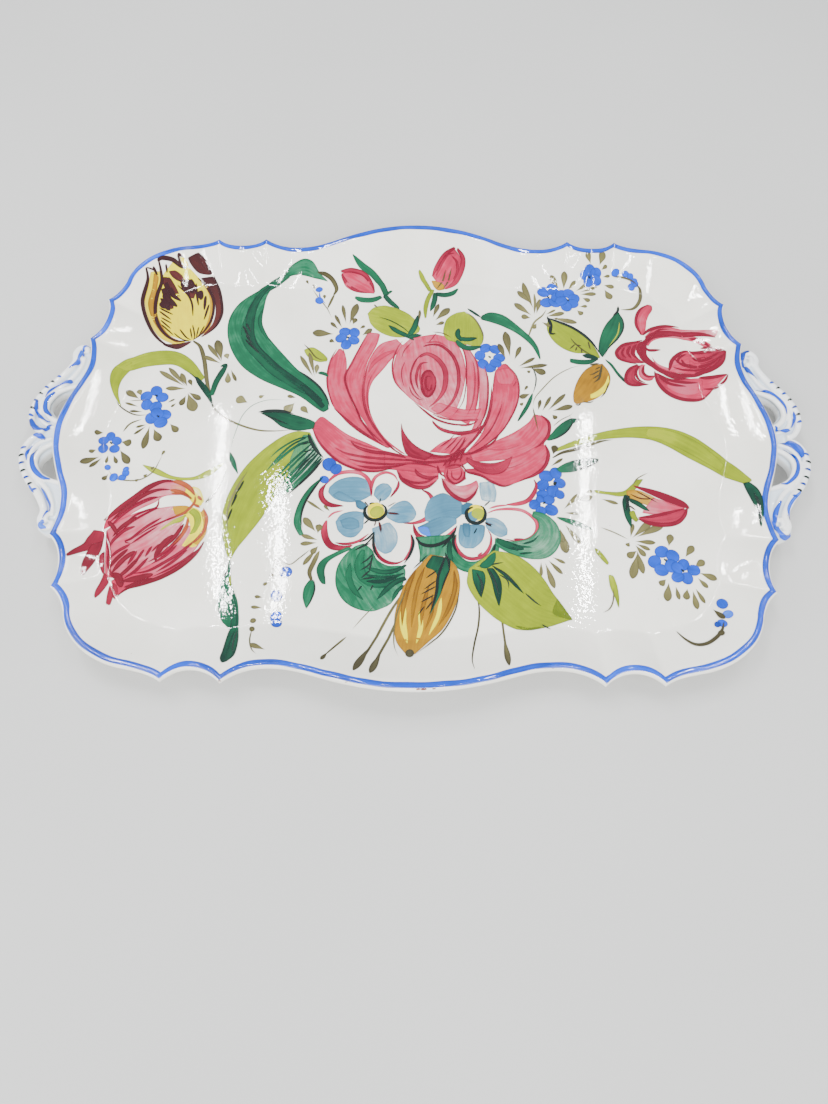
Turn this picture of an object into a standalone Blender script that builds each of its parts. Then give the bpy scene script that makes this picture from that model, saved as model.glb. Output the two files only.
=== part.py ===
"""An oval serving platter of glazed earthenware with two pierced scroll handles.

The platter lies flat on its foot ring, with its long side along X and Z up. The origin is on the
ground, under the middle of the dish. Lengths are metres, and the outlines are written in millimetres.
"""

import math

import bmesh
import bpy
from mathutils import Vector

MM = 0.001

# Clearance between pieces that meet. The cutter of the handles is grown a little more, because its
# corners move out along a slant.
GAP = 0.3 * MM
CUTTER_GROWTH = 0.45 * MM

# Foot ring: a rounded rectangle of clay under the floor, narrower where it meets the table.
FOOT_HALF_LENGTH = 150 * MM
FOOT_HALF_WIDTH = 96 * MM
FOOT_ROUNDNESS = 3.2
FOOT_HEIGHT = 4.0 * MM
FOOT_TOP_WIDTH = 7.0 * MM
FOOT_BOTTOM_WIDTH = 5.0 * MM
FOOT_STEPS = 96

# Dish: a flat floor, a sloping wall and a rolled lip.
UNDERSIDE_Z = FOOT_HEIGHT + GAP
FLOOR_THICKNESS = 6.0 * MM
FLOOR_Z = UNDERSIDE_Z + FLOOR_THICKNESS
WALL_THICKNESS = 5.2 * MM
WALL_RISE = 9.0 * MM
WALL_HOLLOW = 0.15
LIP_RADIUS = 2.5 * MM

# Handles: cast flat, with rounded edges, a little lower than the lip that they are luted to.
HANDLE_BOTTOM_Z = 7.5 * MM
HANDLE_THICKNESS = 9.0 * MM
HANDLE_EDGE_RADIUS = 2.2 * MM

# One quarter of the dish's plan, from the middle of the long side round to the middle of the short
# side. The lip is a row of lobes that meet in sharp cusps, and so is the crease where the floor
# turns up into the wall. Each lobe has the extra height of its crown, the part of the lobe that lies
# in this quarter, from 0 at its first cusp to 1 at its last, and its stretches. A stretch has its
# number of steps and the cubic Bezier curves of the lip and of the crease.
LOBES = [
    {
        "crown": 7.5,
        "span": (0.5, 1.0),
        "stretches": [
            (5, [(0, 154), (22, 154), (38, 149.3), (52, 144.8)],
             [(0, 122), (22, 122), (36, 118.5), (52, 116.5)]),
            (5, [(52, 144.8), (65, 140.5), (84, 137), (98, 148.5)],
             [(52, 116.5), (66, 114), (84, 112.5), (97, 118)]),
        ],
    },
    {
        "crown": 1.0,
        "span": (0.0, 1.0),
        "stretches": [
            (4, [(98, 148.5), (106, 139.9), (120, 139.7), (128.5, 148)],
             [(97, 118), (104, 114.6), (118, 114.8), (125.5, 118.5)]),
        ],
    },
    {
        "crown": 1.5,
        "span": (0.0, 1.0),
        "stretches": [
            (2, [(128.5, 148), (134, 144), (141, 142.8), (148, 141.5)],
             [(125.5, 118.5), (129, 116.6), (133, 115.4), (138, 114.5)]),
            (5, [(148, 141.5), (165, 139), (181, 127), (184, 111)],
             [(138, 114.5), (148, 112), (158, 105.5), (162, 97.5)]),
            (2, [(184, 111), (186, 105.2), (189, 100.3), (193.5, 97)],
             [(162, 97.5), (164, 93.5), (165.5, 90), (167.5, 88)]),
        ],
    },
    {
        "crown": 1.0,
        "span": (0.0, 1.0),
        "stretches": [
            (4, [(193.5, 97), (189.3, 89), (190.5, 74.5), (200, 66.5)],
             [(167.5, 88), (165.5, 80.5), (167.5, 68), (174.5, 60)]),
        ],
    },
    {
        "crown": 1.5,
        "span": (0.0, 0.5),
        "stretches": [
            (3, [(200, 66.5), (197, 58), (196, 47), (199.5, 37)],
             [(174.5, 60), (172.2, 52), (171.9, 43), (174.3, 34)]),
            (4, [(199.5, 37), (202.8, 27.5), (209, 13), (209, 0)],
             [(174.3, 34), (177, 25.5), (183.3, 12), (183.3, 0)]),
        ],
    },
]

# Half of a handle's plan, from the notch between its two scrolls, out round one scroll to its curled
# end, back under the lip, and round the finger hole to the root in the middle.
HANDLE_NOTCH = (221.5, 0)
HANDLE_HALF = [
    (225.0, 6), (227.0, 14), (225.6, 23), (221.0, 32), (213.5, 41.5), (208.2, 51), (209.8, 58.5),
    (206.5, 63), (200.5, 64.5), (194.5, 60), (193.0, 46), (196.0, 33), (203.5, 29.2), (210.8, 28),
    (215.5, 20.5), (211.5, 12.5), (204.5, 8.8),
]
HANDLE_ROOT = (200.0, 0)

# Material settings: name, colour, roughness.
WHITE_GLAZE = ("white_tin_glaze", (0.76, 0.75, 0.70, 1.0), 0.15)
BARE_CLAY = ("fired_clay", (0.62, 0.40, 0.26, 1.0), 0.75)


def bezier(points, t):
    """The point at t of a cubic Bezier curve in the plane."""
    a, b, c, d = (Vector(p) for p in points)
    s = 1 - t
    return a * s**3 + b * 3 * s**2 * t + c * 3 * s * t**2 + d * t**3


def quarter_plan():
    """The quarter's samples: lip point, crease point and the lip's height above its cusps."""
    samples = []
    for lobe in LOBES:
        lobe_steps = sum(steps for steps, _, _ in lobe["stretches"])
        first, last = lobe["span"]
        done = 0
        for steps, lip, crease in lobe["stretches"]:
            for step in range(steps):
                along = first + (last - first) * (done + step) / lobe_steps
                height = lobe["crown"] * math.sin(math.pi * along) ** 2
                samples.append((bezier(lip, step / steps), bezier(crease, step / steps), height))
            done += steps
    _, lip, crease = LOBES[-1]["stretches"][-1]
    samples.append((Vector(lip[-1]), Vector(crease[-1]), LOBES[-1]["crown"]))
    return samples


def full_plan():
    """The whole closed plan in metres, counterclockwise from the middle of the far long side."""
    quarter = quarter_plan()
    quarters = (
        (-1, 1, quarter[:-1]),
        (-1, -1, quarter[:0:-1]),
        (1, -1, quarter[:-1]),
        (1, 1, quarter[:0:-1]),
    )
    plan = []
    for sign_x, sign_y, samples in quarters:
        for lip, crease, height in samples:
            mirrored_lip = Vector((sign_x * lip.x, sign_y * lip.y)) * MM
            mirrored_crease = Vector((sign_x * crease.x, sign_y * crease.y)) * MM
            plan.append((mirrored_lip, mirrored_crease, height * MM))
    return plan


def dish_section(lip, crease, height):
    """The dish's cut at one place of its plan, from the floor over the lip to the underside."""
    lip_z = FLOOR_Z + WALL_RISE + height
    slope = lip - crease
    outward = slope.normalized()
    shoulder = lip - outward * 2 * LIP_RADIUS
    section = []
    for part in (0, 1 / 3, 2 / 3, 1):
        bend = part * (1 - WALL_HOLLOW) + part**2 * WALL_HOLLOW
        z = FLOOR_Z + (lip_z - 0.3 * LIP_RADIUS - FLOOR_Z) * bend
        section.append((crease.lerp(shoulder, part), z))
    for quarter_turn in (0, 0.5, 1, 1.5, 2):
        angle = quarter_turn * math.pi / 2
        inset = LIP_RADIUS * (1 - math.sin(angle))
        z = lip_z - LIP_RADIUS * (1 - math.cos(angle))
        section.append((lip - outward * inset, z))
    for plan, z in (section[2], section[1]):
        section.append((plan, z - WALL_THICKNESS))
    section.append((crease, UNDERSIDE_Z))
    return [(plan.x, plan.y, z) for plan, z in section]


def loft(name, rings, closed):
    """A mesh through rings of equal length: a tube bent into a ring, or a skin capped at both ends."""
    shape = bmesh.new()
    loops = [[shape.verts.new(point) for point in ring] for ring in rings]
    pairs = list(zip(loops, loops[1:]))
    if closed:
        pairs.append((loops[-1], loops[0]))
    else:
        shape.faces.new(loops[0])
        shape.faces.new(loops[-1])
    for near, far in pairs:
        for k in range(len(near)):
            after = (k + 1) % len(near)
            shape.faces.new((near[k], near[after], far[after], far[k]))
    bmesh.ops.recalc_face_normals(shape, faces=shape.faces)
    mesh = bpy.data.meshes.new(name)
    shape.to_mesh(mesh)
    shape.free()
    return mesh


def dish_mesh():
    sections = [dish_section(lip, crease, height) for lip, crease, height in full_plan()]
    return loft("dish", list(zip(*sections)), closed=False)


def superellipse(half_length, half_width, z):
    """A rounded rectangle of FOOT_STEPS points at height z."""
    points = []
    for step in range(FOOT_STEPS):
        angle = 2 * math.pi * step / FOOT_STEPS
        c = math.cos(angle)
        s = math.sin(angle)
        x = half_length * math.copysign(abs(c) ** (2 / FOOT_ROUNDNESS), c)
        y = half_width * math.copysign(abs(s) ** (2 / FOOT_ROUNDNESS), s)
        points.append((x, y, z))
    return points


def foot_ring_mesh():
    taper = (FOOT_TOP_WIDTH - FOOT_BOTTOM_WIDTH) / 2
    rings = []
    for inset, z in (
        (0, FOOT_HEIGHT),
        (taper, 0),
        (taper + FOOT_BOTTOM_WIDTH, 0),
        (FOOT_TOP_WIDTH, FOOT_HEIGHT),
    ):
        rings.append(superellipse(FOOT_HALF_LENGTH - inset, FOOT_HALF_WIDTH - inset, z))
    return loft("foot_ring", rings, closed=True)


def handle_blank_mesh():
    """A handle before its root is cut to the wall: a filled outline with rounded edges."""
    curve = bpy.data.curves.new("handle_outline", "CURVE")
    curve.dimensions = "2D"
    curve.fill_mode = "BOTH"
    curve.resolution_u = 3
    curve.extrude = HANDLE_THICKNESS / 2 - HANDLE_EDGE_RADIUS
    curve.bevel_depth = HANDLE_EDGE_RADIUS
    curve.bevel_resolution = 2
    curve.offset = -HANDLE_EDGE_RADIUS
    other_half = [(x, -y) for x, y in reversed(HANDLE_HALF)]
    outline = [HANDLE_NOTCH] + HANDLE_HALF + [HANDLE_ROOT] + other_half
    spline = curve.splines.new("BEZIER")
    spline.bezier_points.add(len(outline) - 1)
    spline.use_cyclic_u = True
    for point, (x, y) in zip(spline.bezier_points, outline):
        point.co = (x * MM, y * MM, 0)
        point.handle_left_type = "AUTO"
        point.handle_right_type = "AUTO"
    spline.bezier_points[0].handle_left_type = "VECTOR"
    spline.bezier_points[0].handle_right_type = "VECTOR"
    outline_object = bpy.data.objects.new("handle_outline", curve)
    bpy.context.scene.collection.objects.link(outline_object)
    evaluated = outline_object.evaluated_get(bpy.context.evaluated_depsgraph_get())
    mesh = bpy.data.meshes.new_from_object(evaluated)
    bpy.data.objects.remove(outline_object)
    mesh.name = "handle"
    shape = bmesh.new()
    shape.from_mesh(mesh)
    bmesh.ops.remove_doubles(shape, verts=shape.verts, dist=0.01 * MM)
    bmesh.ops.recalc_face_normals(shape, faces=shape.faces)
    shape.to_mesh(mesh)
    shape.free()
    return mesh


def new_material(name, colour, roughness):
    material = bpy.data.materials.new(name)
    material.use_nodes = True
    principled = material.node_tree.nodes["Principled BSDF"]
    principled.inputs["Base Color"].default_value = colour
    principled.inputs["Roughness"].default_value = roughness
    return material


def add_part(name, mesh, collection, material):
    """An object in the collection, shaded smooth between its sharp edges."""
    part = bpy.data.objects.new(name, mesh)
    collection.objects.link(part)
    mesh.shade_smooth()
    mesh.set_sharp_from_angle(angle=math.radians(35))
    if not mesh.materials:
        mesh.materials.append(material)
    return part


def new_collection(name):
    collection = bpy.data.collections.new(name)
    bpy.context.scene.collection.children.link(collection)
    return collection


def build():
    for leftover in list(bpy.data.objects):
        bpy.data.objects.remove(leftover)
    platter = new_collection("painted_platter")
    cutters = new_collection("cutters")
    glaze = new_material(*WHITE_GLAZE)

    add_part("dish", dish_mesh(), platter, glaze)
    add_part("foot_ring", foot_ring_mesh(), platter, new_material(*BARE_CLAY))

    # The cutter is the dish itself, grown by the clearance.
    envelope = add_part("dish_envelope", dish_mesh(), cutters, glaze)
    grow = envelope.modifiers.new("grow", "DISPLACE")
    grow.strength = CUTTER_GROWTH
    grow.mid_level = 0
    envelope.hide_render = True
    envelope.display_type = "WIRE"

    blank = handle_blank_mesh()
    for name, turn in (("handle_right", 0), ("handle_left", math.pi)):
        handle = add_part(name, blank, platter, glaze)
        handle.location.z = HANDLE_BOTTOM_Z + HANDLE_THICKNESS / 2
        handle.rotation_euler.z = turn
        fit = handle.modifiers.new("fit_to_wall", "BOOLEAN")
        fit.operation = "DIFFERENCE"
        fit.object = envelope


build()
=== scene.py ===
# %% [markdown]
# # A hand-painted earthenware platter
#
# This lesson dresses a imported model of a serving platter: a shallow dish of tin-glazed earthenware
# with a lobed lip, a foot ring and two pierced scroll handles, painted with garden flowers. The
# imported model is the fixed frame. It gives the sizes and places. All outlines and brush strokes
# are written in millimetres, seen from above.

# %% Start
import math
import random

import bmesh
import bpy
from mathutils import Matrix, Vector
from mathutils.bvhtree import BVHTree


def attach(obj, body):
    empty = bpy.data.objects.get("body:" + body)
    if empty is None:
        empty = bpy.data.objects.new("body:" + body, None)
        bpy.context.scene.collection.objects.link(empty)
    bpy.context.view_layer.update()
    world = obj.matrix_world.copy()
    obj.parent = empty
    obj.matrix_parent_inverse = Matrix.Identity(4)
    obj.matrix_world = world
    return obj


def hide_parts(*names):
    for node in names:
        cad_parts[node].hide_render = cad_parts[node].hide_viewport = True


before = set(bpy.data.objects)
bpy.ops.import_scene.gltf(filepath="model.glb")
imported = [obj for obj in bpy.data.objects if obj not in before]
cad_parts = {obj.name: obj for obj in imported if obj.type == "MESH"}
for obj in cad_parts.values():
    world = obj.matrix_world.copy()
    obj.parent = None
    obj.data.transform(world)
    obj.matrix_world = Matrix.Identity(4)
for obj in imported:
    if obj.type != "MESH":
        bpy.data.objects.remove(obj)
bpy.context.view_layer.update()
MM = 0.001

# %% [markdown]
# ## The camera
#
# The platter is seen from its near long side, from above, through a moderately wide lens held about
# half a metre away. The camera tilts up from straight down, and rolls a touch to one side. The frame
# is taller than it is wide, so Blender fits the 36 mm sensor to the frame's height.

# %% Camera
CAMERA_PLACE = (0.0, -0.2605, 0.428)
CAMERA_TILT = math.radians(24.36)
CAMERA_ROLL = math.radians(0.5)
CAMERA_LENS_MM = 27.07

camera = bpy.data.objects.new("camera", bpy.data.cameras.new("camera"))
bpy.context.scene.collection.objects.link(camera)
tilt = Matrix.Rotation(CAMERA_TILT, 4, "X")
roll = Matrix.Rotation(CAMERA_ROLL, 4, "Z")
camera.matrix_world = Matrix.Translation(CAMERA_PLACE) @ tilt @ roll
camera.data.lens = CAMERA_LENS_MM
camera.data.sensor_width = 36.0
bpy.context.scene.camera = camera
print("camera", [round(v, 3) for v in camera.location])

# %% [markdown]
# ## Floor and light
#
# A plain pale floor and a soft studio: a broad overhead panel for even light, and long narrow strips
# over and behind the platter. A glossy glaze mirrors its lamps, so the strips draw the long upright
# highlights that tell the eye that the surface is glass. Nine strips are used rather than one, for
# each lobe of the wall mirrors another part of the ceiling.

# %% Colours and node helpers
def linear(code):
    """An sRGB hex colour as linear red, green, blue and full alpha."""
    channels = [int(code[i:i + 2], 16) / 255 for i in (1, 3, 5)]
    flat = [c / 12.92 if c <= 0.04045 else ((c + 0.055) / 1.055) ** 2.4 for c in channels]
    return (*flat, 1.0)


def new_material(name):
    """A node material with no nodes in it yet."""
    material = bpy.data.materials.new(name)
    material.use_nodes = True
    material.node_tree.nodes.clear()
    return material


def add_node(material, kind, inputs=None, **settings):
    """Adds a node. An input is given a value, or another node's output to link."""
    node = material.node_tree.nodes.new(kind)
    for name, value in settings.items():
        setattr(node, name, value)
    for socket, value in (inputs or {}).items():
        if isinstance(value, bpy.types.NodeSocket):
            material.node_tree.links.new(value, node.inputs[socket])
        else:
            node.inputs[socket].default_value = value
    return node


def ramp(material, value, stops):
    """The colour that a value picks from a ramp. Each stop is a place and a colour."""
    node = add_node(material, "ShaderNodeValToRGB", {"Fac": value})
    elements = node.color_ramp.elements
    while len(elements) < len(stops):
        elements.new(0.5)
    for element, (place, colour) in zip(elements, stops):
        element.position = place
        element.color = colour
    return node.outputs["Color"]


def noise(material, where, grain, detail):
    """Smooth noise, with a grain of the given size in mm."""
    inputs = {"Vector": where, "Scale": 1 / (grain * MM), "Detail": detail}
    return add_node(material, "ShaderNodeTexNoise", inputs).outputs["Fac"]


def remap(material, value, span, target=(0.0, 1.0), **settings):
    """Stretches the span of a value to the target span."""
    inputs = {"Value": value, "From Min": span[0], "From Max": span[1]}
    inputs.update({"To Min": target[0], "To Max": target[1]})
    return add_node(material, "ShaderNodeMapRange", inputs, **settings).outputs["Result"]


def compute(material, operation, *values):
    """The result of one operation on two or three values."""
    inputs = dict(enumerate(values))
    return add_node(material, "ShaderNodeMath", inputs, operation=operation).outputs["Value"]


def blend(material, factor, first, second):
    """A mix of two colours: the more factor, the more of the second."""
    inputs = {"Factor": factor, "A": first, "B": second}
    return add_node(material, "ShaderNodeMix", inputs, data_type="RGBA").outputs["Result"]


# %% Floor
FLOOR_HALF = 3.0
paper = new_material("matt_studio_paper")
coordinates = add_node(paper, "ShaderNodeTexCoord")
mottle = add_node(paper, "ShaderNodeTexNoise", {"Vector": coordinates.outputs["Object"], "Scale": 3.0})
paper_colour = ramp(paper, mottle.outputs["Fac"], [(0.3, linear("#B9B9B7")), (0.7, linear("#BFBFBD"))])
paper_shader = add_node(paper, "ShaderNodeBsdfPrincipled", {"Base Color": paper_colour,
    "Roughness": 0.9})
add_node(paper, "ShaderNodeOutputMaterial", {"Surface": paper_shader.outputs["BSDF"]})

floor_shape = bmesh.new()
bmesh.ops.create_grid(floor_shape, x_segments=1, y_segments=1, size=FLOOR_HALF)
floor_mesh = bpy.data.meshes.new("floor")
floor_shape.to_mesh(floor_mesh)
floor_shape.free()
floor_mesh.materials.append(paper)
floor = bpy.data.objects.new("floor", floor_mesh)
bpy.context.scene.collection.objects.link(floor)
floor.location.z = -0.2 * MM

# %% Lamps
def panel(name, place, aim, size, watts):
    """A rectangular soft lamp at a place, turned towards a point."""
    lamp = bpy.data.lights.new(name, "AREA")
    lamp.shape = "RECTANGLE"
    lamp.size, lamp.size_y = size
    lamp.energy = watts
    holder = bpy.data.objects.new(name, lamp)
    bpy.context.scene.collection.objects.link(holder)
    holder.location = place
    holder.rotation_euler = (Vector(aim) - Vector(place)).to_track_quat("-Z", "Y").to_euler()


panel("overhead_panel", (0.0, -1.35, 1.65), (0, 0, 0), (2.6, 1.2), 90)
# Each strip: where it hangs, its width and length, and its power. All run from front to back.
for place, size, watts in (
    ((-0.42, 0.57, 1.2), (0.01, 0.42), 3.6), ((-0.29, 0.48, 1.2), (0.02, 0.28), 3.0),
    ((0.37, 0.57, 1.2), (0.01, 0.42), 3.6), ((-0.46, 0.17, 1.2), (0.012, 0.2), 1.6),
    ((-0.30, 0.17, 1.2), (0.012, 0.2), 1.2), ((-0.14, 0.17, 1.2), (0.012, 0.2), 1.0),
    ((0.14, 0.17, 1.2), (0.012, 0.2), 1.0), ((0.30, 0.17, 1.2), (0.012, 0.2), 1.2),
    ((0.46, 0.17, 1.2), (0.012, 0.2), 1.2),
):
    panel("strip", place, (place[0], place[1] - 0.5, 0), size, watts)
panel("left_window", (-1.6, -0.4, 1.0), (0, 0, 0), (1.0, 1.2), 16)

world = bpy.data.worlds.new("pale_room")
world.use_nodes = True
world.node_tree.nodes["Background"].inputs["Color"].default_value = linear("#DDE1E6")
world.node_tree.nodes["Background"].inputs["Strength"].default_value = 1.05
bpy.context.scene.world = world

# %% [markdown]
# ## The plan of the dish
#
# A press-moulded platter is designed as two outlines seen from above: the lip, and the crease where
# the flat floor turns up into the wall. Both are rows of lobes that meet in sharp cusps. A quarter
# of each is drawn with cubic Bezier curves and mirrored twice, as the mould carver's template is.

# %% Outlines
# Each lobe: the extra height of its crown, the part of the lobe inside this quarter, and its
# stretches, each the Bezier curves of the lip and of the crease.
LOBES = [
    (7.5, (0.5, 1.0), [
        ([(0, 154), (22, 154), (38, 149.3), (52, 144.8)],
         [(0, 122), (22, 122), (36, 118.5), (52, 116.5)]),
        ([(52, 144.8), (65, 140.5), (84, 137), (98, 148.5)],
         [(52, 116.5), (66, 114), (84, 112.5), (97, 118)])]),
    (1.0, (0.0, 1.0), [
        ([(98, 148.5), (106, 139.9), (120, 139.7), (128.5, 148)],
         [(97, 118), (104, 114.6), (118, 114.8), (125.5, 118.5)])]),
    (1.5, (0.0, 1.0), [
        ([(128.5, 148), (134, 144), (141, 142.8), (148, 141.5)],
         [(125.5, 118.5), (129, 116.6), (133, 115.4), (138, 114.5)]),
        ([(148, 141.5), (165, 139), (181, 127), (184, 111)],
         [(138, 114.5), (148, 112), (158, 105.5), (162, 97.5)]),
        ([(184, 111), (186, 105.2), (189, 100.3), (193.5, 97)],
         [(162, 97.5), (164, 93.5), (165.5, 90), (167.5, 88)])]),
    (1.0, (0.0, 1.0), [
        ([(193.5, 97), (189.3, 89), (190.5, 74.5), (200, 66.5)],
         [(167.5, 88), (165.5, 80.5), (167.5, 68), (174.5, 60)])]),
    (1.5, (0.0, 0.5), [
        ([(200, 66.5), (197, 58), (196, 47), (199.5, 37)],
         [(174.5, 60), (172.2, 52), (171.9, 43), (174.3, 34)]),
        ([(199.5, 37), (202.8, 27.5), (209, 13), (209, 0)],
         [(174.3, 34), (177, 25.5), (183.3, 12), (183.3, 0)])]),
]
STEP_MM = 2.2  # the length of one step along the lip


def bezier(points, t):
    """The point at t of a cubic Bezier curve."""
    a, b, c, d = (Vector(p) for p in points)
    s = 1 - t
    return a * s**3 + b * 3 * s**2 * t + c * 3 * s * t**2 + d * t**3


def quarter_plan():
    """The quarter's samples: lip point, crease point, and the lip's height above its cusps."""
    samples = []
    for crown, (first, last), stretches in LOBES:
        lengths = [(Vector(lip[0]) - Vector(lip[-1])).length for lip, _ in stretches]
        whole = sum(lengths)
        done = 0.0
        for (lip, crease), length in zip(stretches, lengths):
            steps = max(4, round(length / STEP_MM))
            for step in range(steps):
                along = first + (last - first) * (done + length * step / steps) / whole
                rise = crown * math.sin(math.pi * along) ** 2
                samples.append((bezier(lip, step / steps), bezier(crease, step / steps), rise))
            done += length
    lip, crease = LOBES[-1][2][-1]
    samples.append((Vector(lip[-1]), Vector(crease[-1]), LOBES[-1][0]))
    return samples


def full_plan():
    """The closed plan in millimetres, counterclockwise from the middle of the far long side."""
    quarter = quarter_plan()
    plan = []
    for sign_x, sign_y, samples in (
        (-1, 1, quarter[:-1]), (-1, -1, quarter[:0:-1]), (1, -1, quarter[:-1]), (1, 1, quarter[:0:-1]),
    ):
        for lip, crease, rise in samples:
            mirror = Vector((sign_x, sign_y))
            plan.append((lip * mirror, crease * mirror, rise))
    return plan


PLAN = full_plan()
print("plan steps:", len(PLAN))

# %% [markdown]
# ## The dish
#
# The dish was pressed over a mould from a slab of clay, so floor, wall and lip are one shell. It
# could be carved with Booleans, or subdivided from a cage, but then the cusps would go soft. Here a
# flat grid is bent round the plan, as a mould maker draws a template round a bed of plaster. One
# side of the grid follows the plan. The other follows the cut through the dish: out over the floor,
# up the wall, over the rolled lip and back underneath. The seam is welded and the ends are filled.

# %% Dish section
FLOOR_TOP = 10.3
UNDERSIDE = 4.3
WALL_RISE = 9.0
WALL_THICKNESS = 5.2
WALL_HOLLOW = 0.15  # how much the wall curves inwards between crease and lip
LIP_RADIUS = 2.5
FLOOR_SAG = 0.35  # the floor sinks this much in the kiln
WALL_STEPS = 14  # steps from the crease to the shoulder, and under the wall back again
LIP_STEPS = 12  # steps round the rolled lip


def wall_height(part, rise):
    """The inner face's height, part of the way from the crease to the lip's shoulder."""
    bend = part * (1 - WALL_HOLLOW) + part**2 * WALL_HOLLOW
    return FLOOR_TOP + (WALL_RISE + rise - 0.3 * LIP_RADIUS) * bend


def section(lip, crease, rise):
    """The cut through the dish at one step of the plan, as points in mm from middle to middle."""
    outward = (lip - crease).normalized()
    shoulder = lip - outward * 2 * LIP_RADIUS
    lip_z = FLOOR_TOP + WALL_RISE + rise
    points = []
    for part in (0.02, 0.15, 0.3, 0.45, 0.6, 0.72, 0.82, 0.89, 0.94, 0.975, 0.992):
        z = FLOOR_TOP - FLOOR_SAG * (1 - part**2)
        points.append((crease * part, z))
    for step in range(WALL_STEPS + 1):
        part = step / WALL_STEPS
        points.append((crease.lerp(shoulder, part), wall_height(part, rise)))
    for step in range(LIP_STEPS + 1):
        angle = math.pi * step / LIP_STEPS
        inset = LIP_RADIUS * (1 - math.sin(angle))
        points.append((lip - outward * inset, lip_z - LIP_RADIUS * (1 - math.cos(angle))))
    for step in range(WALL_STEPS - 2, 0, -2):
        part = step / WALL_STEPS
        points.append((crease.lerp(shoulder, part), wall_height(part, rise) - WALL_THICKNESS))
    for part in (1, 0.985, 0.95, 0.8, 0.6, 0.4, 0.2, 0.02):
        points.append((crease * part, UNDERSIDE))
    return [Vector((plan.x, plan.y, z)) * MM for plan, z in points]


# %% Bending a grid
def bent_grid(shape, across, along, place):
    """Adds a grid of across by along steps to a bmesh, with each corner moved to place(i, j)."""
    made = bmesh.ops.create_grid(shape, x_segments=across, y_segments=along, size=1)["verts"]
    for vert in made:
        i = round((vert.co.x + 1) / 2 * across)
        j = round((vert.co.y + 1) / 2 * along)
        place(vert, i, j)
    return made


def finish_piece(name, shape, materials, smooth_angle=40):
    """Makes a bmesh an object at the origin, smooth but for its sharp edges."""
    mesh = bpy.data.meshes.new(name)
    shape.to_mesh(mesh)
    shape.free()
    mesh.shade_smooth()
    mesh.set_sharp_from_angle(angle=math.radians(smooth_angle))
    for material in materials:
        mesh.materials.append(material)
    piece = bpy.data.objects.new(name, mesh)
    bpy.context.scene.collection.objects.link(piece)
    print(name, len(mesh.polygons), "faces")
    return piece


# %% Dish mesh
SECTIONS = [section(*sample) for sample in PLAN]
dish_shape = bmesh.new()


def on_dish(vert, i, j):
    vert.co = SECTIONS[i % len(SECTIONS)][j]


bent_grid(dish_shape, len(SECTIONS), len(SECTIONS[0]) - 1, on_dish)
bmesh.ops.remove_doubles(dish_shape, verts=dish_shape.verts, dist=0.001 * MM)
bmesh.ops.holes_fill(dish_shape, edges=dish_shape.edges, sides=0)
bmesh.ops.recalc_face_normals(dish_shape, faces=dish_shape.faces)
bmesh.ops.triangulate(dish_shape, faces=[f for f in dish_shape.faces if len(f.verts) > 4])
dish_surface = BVHTree.FromBMesh(dish_shape)

# %% [markdown]
# ## The glaze
#
# Tin glaze is a milky glass, about half a millimetre thick, fired onto the clay at about 1000 C. It
# could be a plain white gloss, but a hand-dipped glaze is never even: it pools a little, it has
# pinholes and iron specks, and its skin ripples like orange peel. Noise gives the pools, the specks
# and the ripples, not the pinholes. A glass has an IOR of about 1.5 and is nearly as smooth as a
# mirror.

# %% Glaze material
GLASS_IOR = 1.52


def tin_glaze(name, light, shade):
    """White tin glaze: two close whites, iron specks, a rippled skin."""
    glaze = new_material(name)
    where = add_node(glaze, "ShaderNodeTexCoord").outputs["Object"]
    cloud = noise(glaze, where, 45, 4.0)
    tone = ramp(glaze, cloud, [(0.35, linear(shade)), (0.65, linear(light))])
    # Iron specks: one cell of clay in a few holds a dark grain a few tenths of a millimetre wide.
    cells = add_node(glaze, "ShaderNodeTexVoronoi", {"Vector": where, "Scale": 1 / (11 * MM)})
    grain = remap(glaze, cells.outputs["Distance"], (0.02, 0.045), (0.55, 0.0))
    few = add_node(glaze, "ShaderNodeSeparateColor", {"Color": cells.outputs["Color"]})
    chosen = compute(glaze, "GREATER_THAN", few.outputs["Red"], 0.72)
    speck = compute(glaze, "MULTIPLY", grain, chosen)
    return glaze, blend(glaze, speck, tone, linear("#8A7F70")), where


def glass_skin(material, colour, where, alpha=None):
    """The glossy rippled glass surface that glaze and paint share."""
    swell = noise(material, where, 30, 1.0)
    peel = noise(material, where, 2.6, 2.0)
    bumps = {"Height": swell, "Strength": 1.0, "Distance": 0.15 * MM}
    low = add_node(material, "ShaderNodeBump", bumps).outputs["Normal"]
    bumps = {"Height": peel, "Strength": 1.0, "Distance": 0.032 * MM, "Normal": low}
    high = add_node(material, "ShaderNodeBump", bumps).outputs["Normal"]
    rough = remap(material, swell, (0.3, 0.7), (0.02, 0.05))
    inputs = {"Base Color": colour, "Roughness": rough, "IOR": GLASS_IOR, "Normal": high}
    if alpha:
        inputs["Alpha"] = alpha
    shader = add_node(material, "ShaderNodeBsdfPrincipled", inputs)
    add_node(material, "ShaderNodeOutputMaterial", {"Surface": shader.outputs["BSDF"]})
    return material


white_glaze, white_colour, white_place = tin_glaze("tin_glaze", "#F3F1E8", "#E9E7DC")
glass_skin(white_glaze, white_colour, white_place)

dish = finish_piece("dish_glazed", dish_shape, [white_glaze])
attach(dish, "root")
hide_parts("dish")

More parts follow.
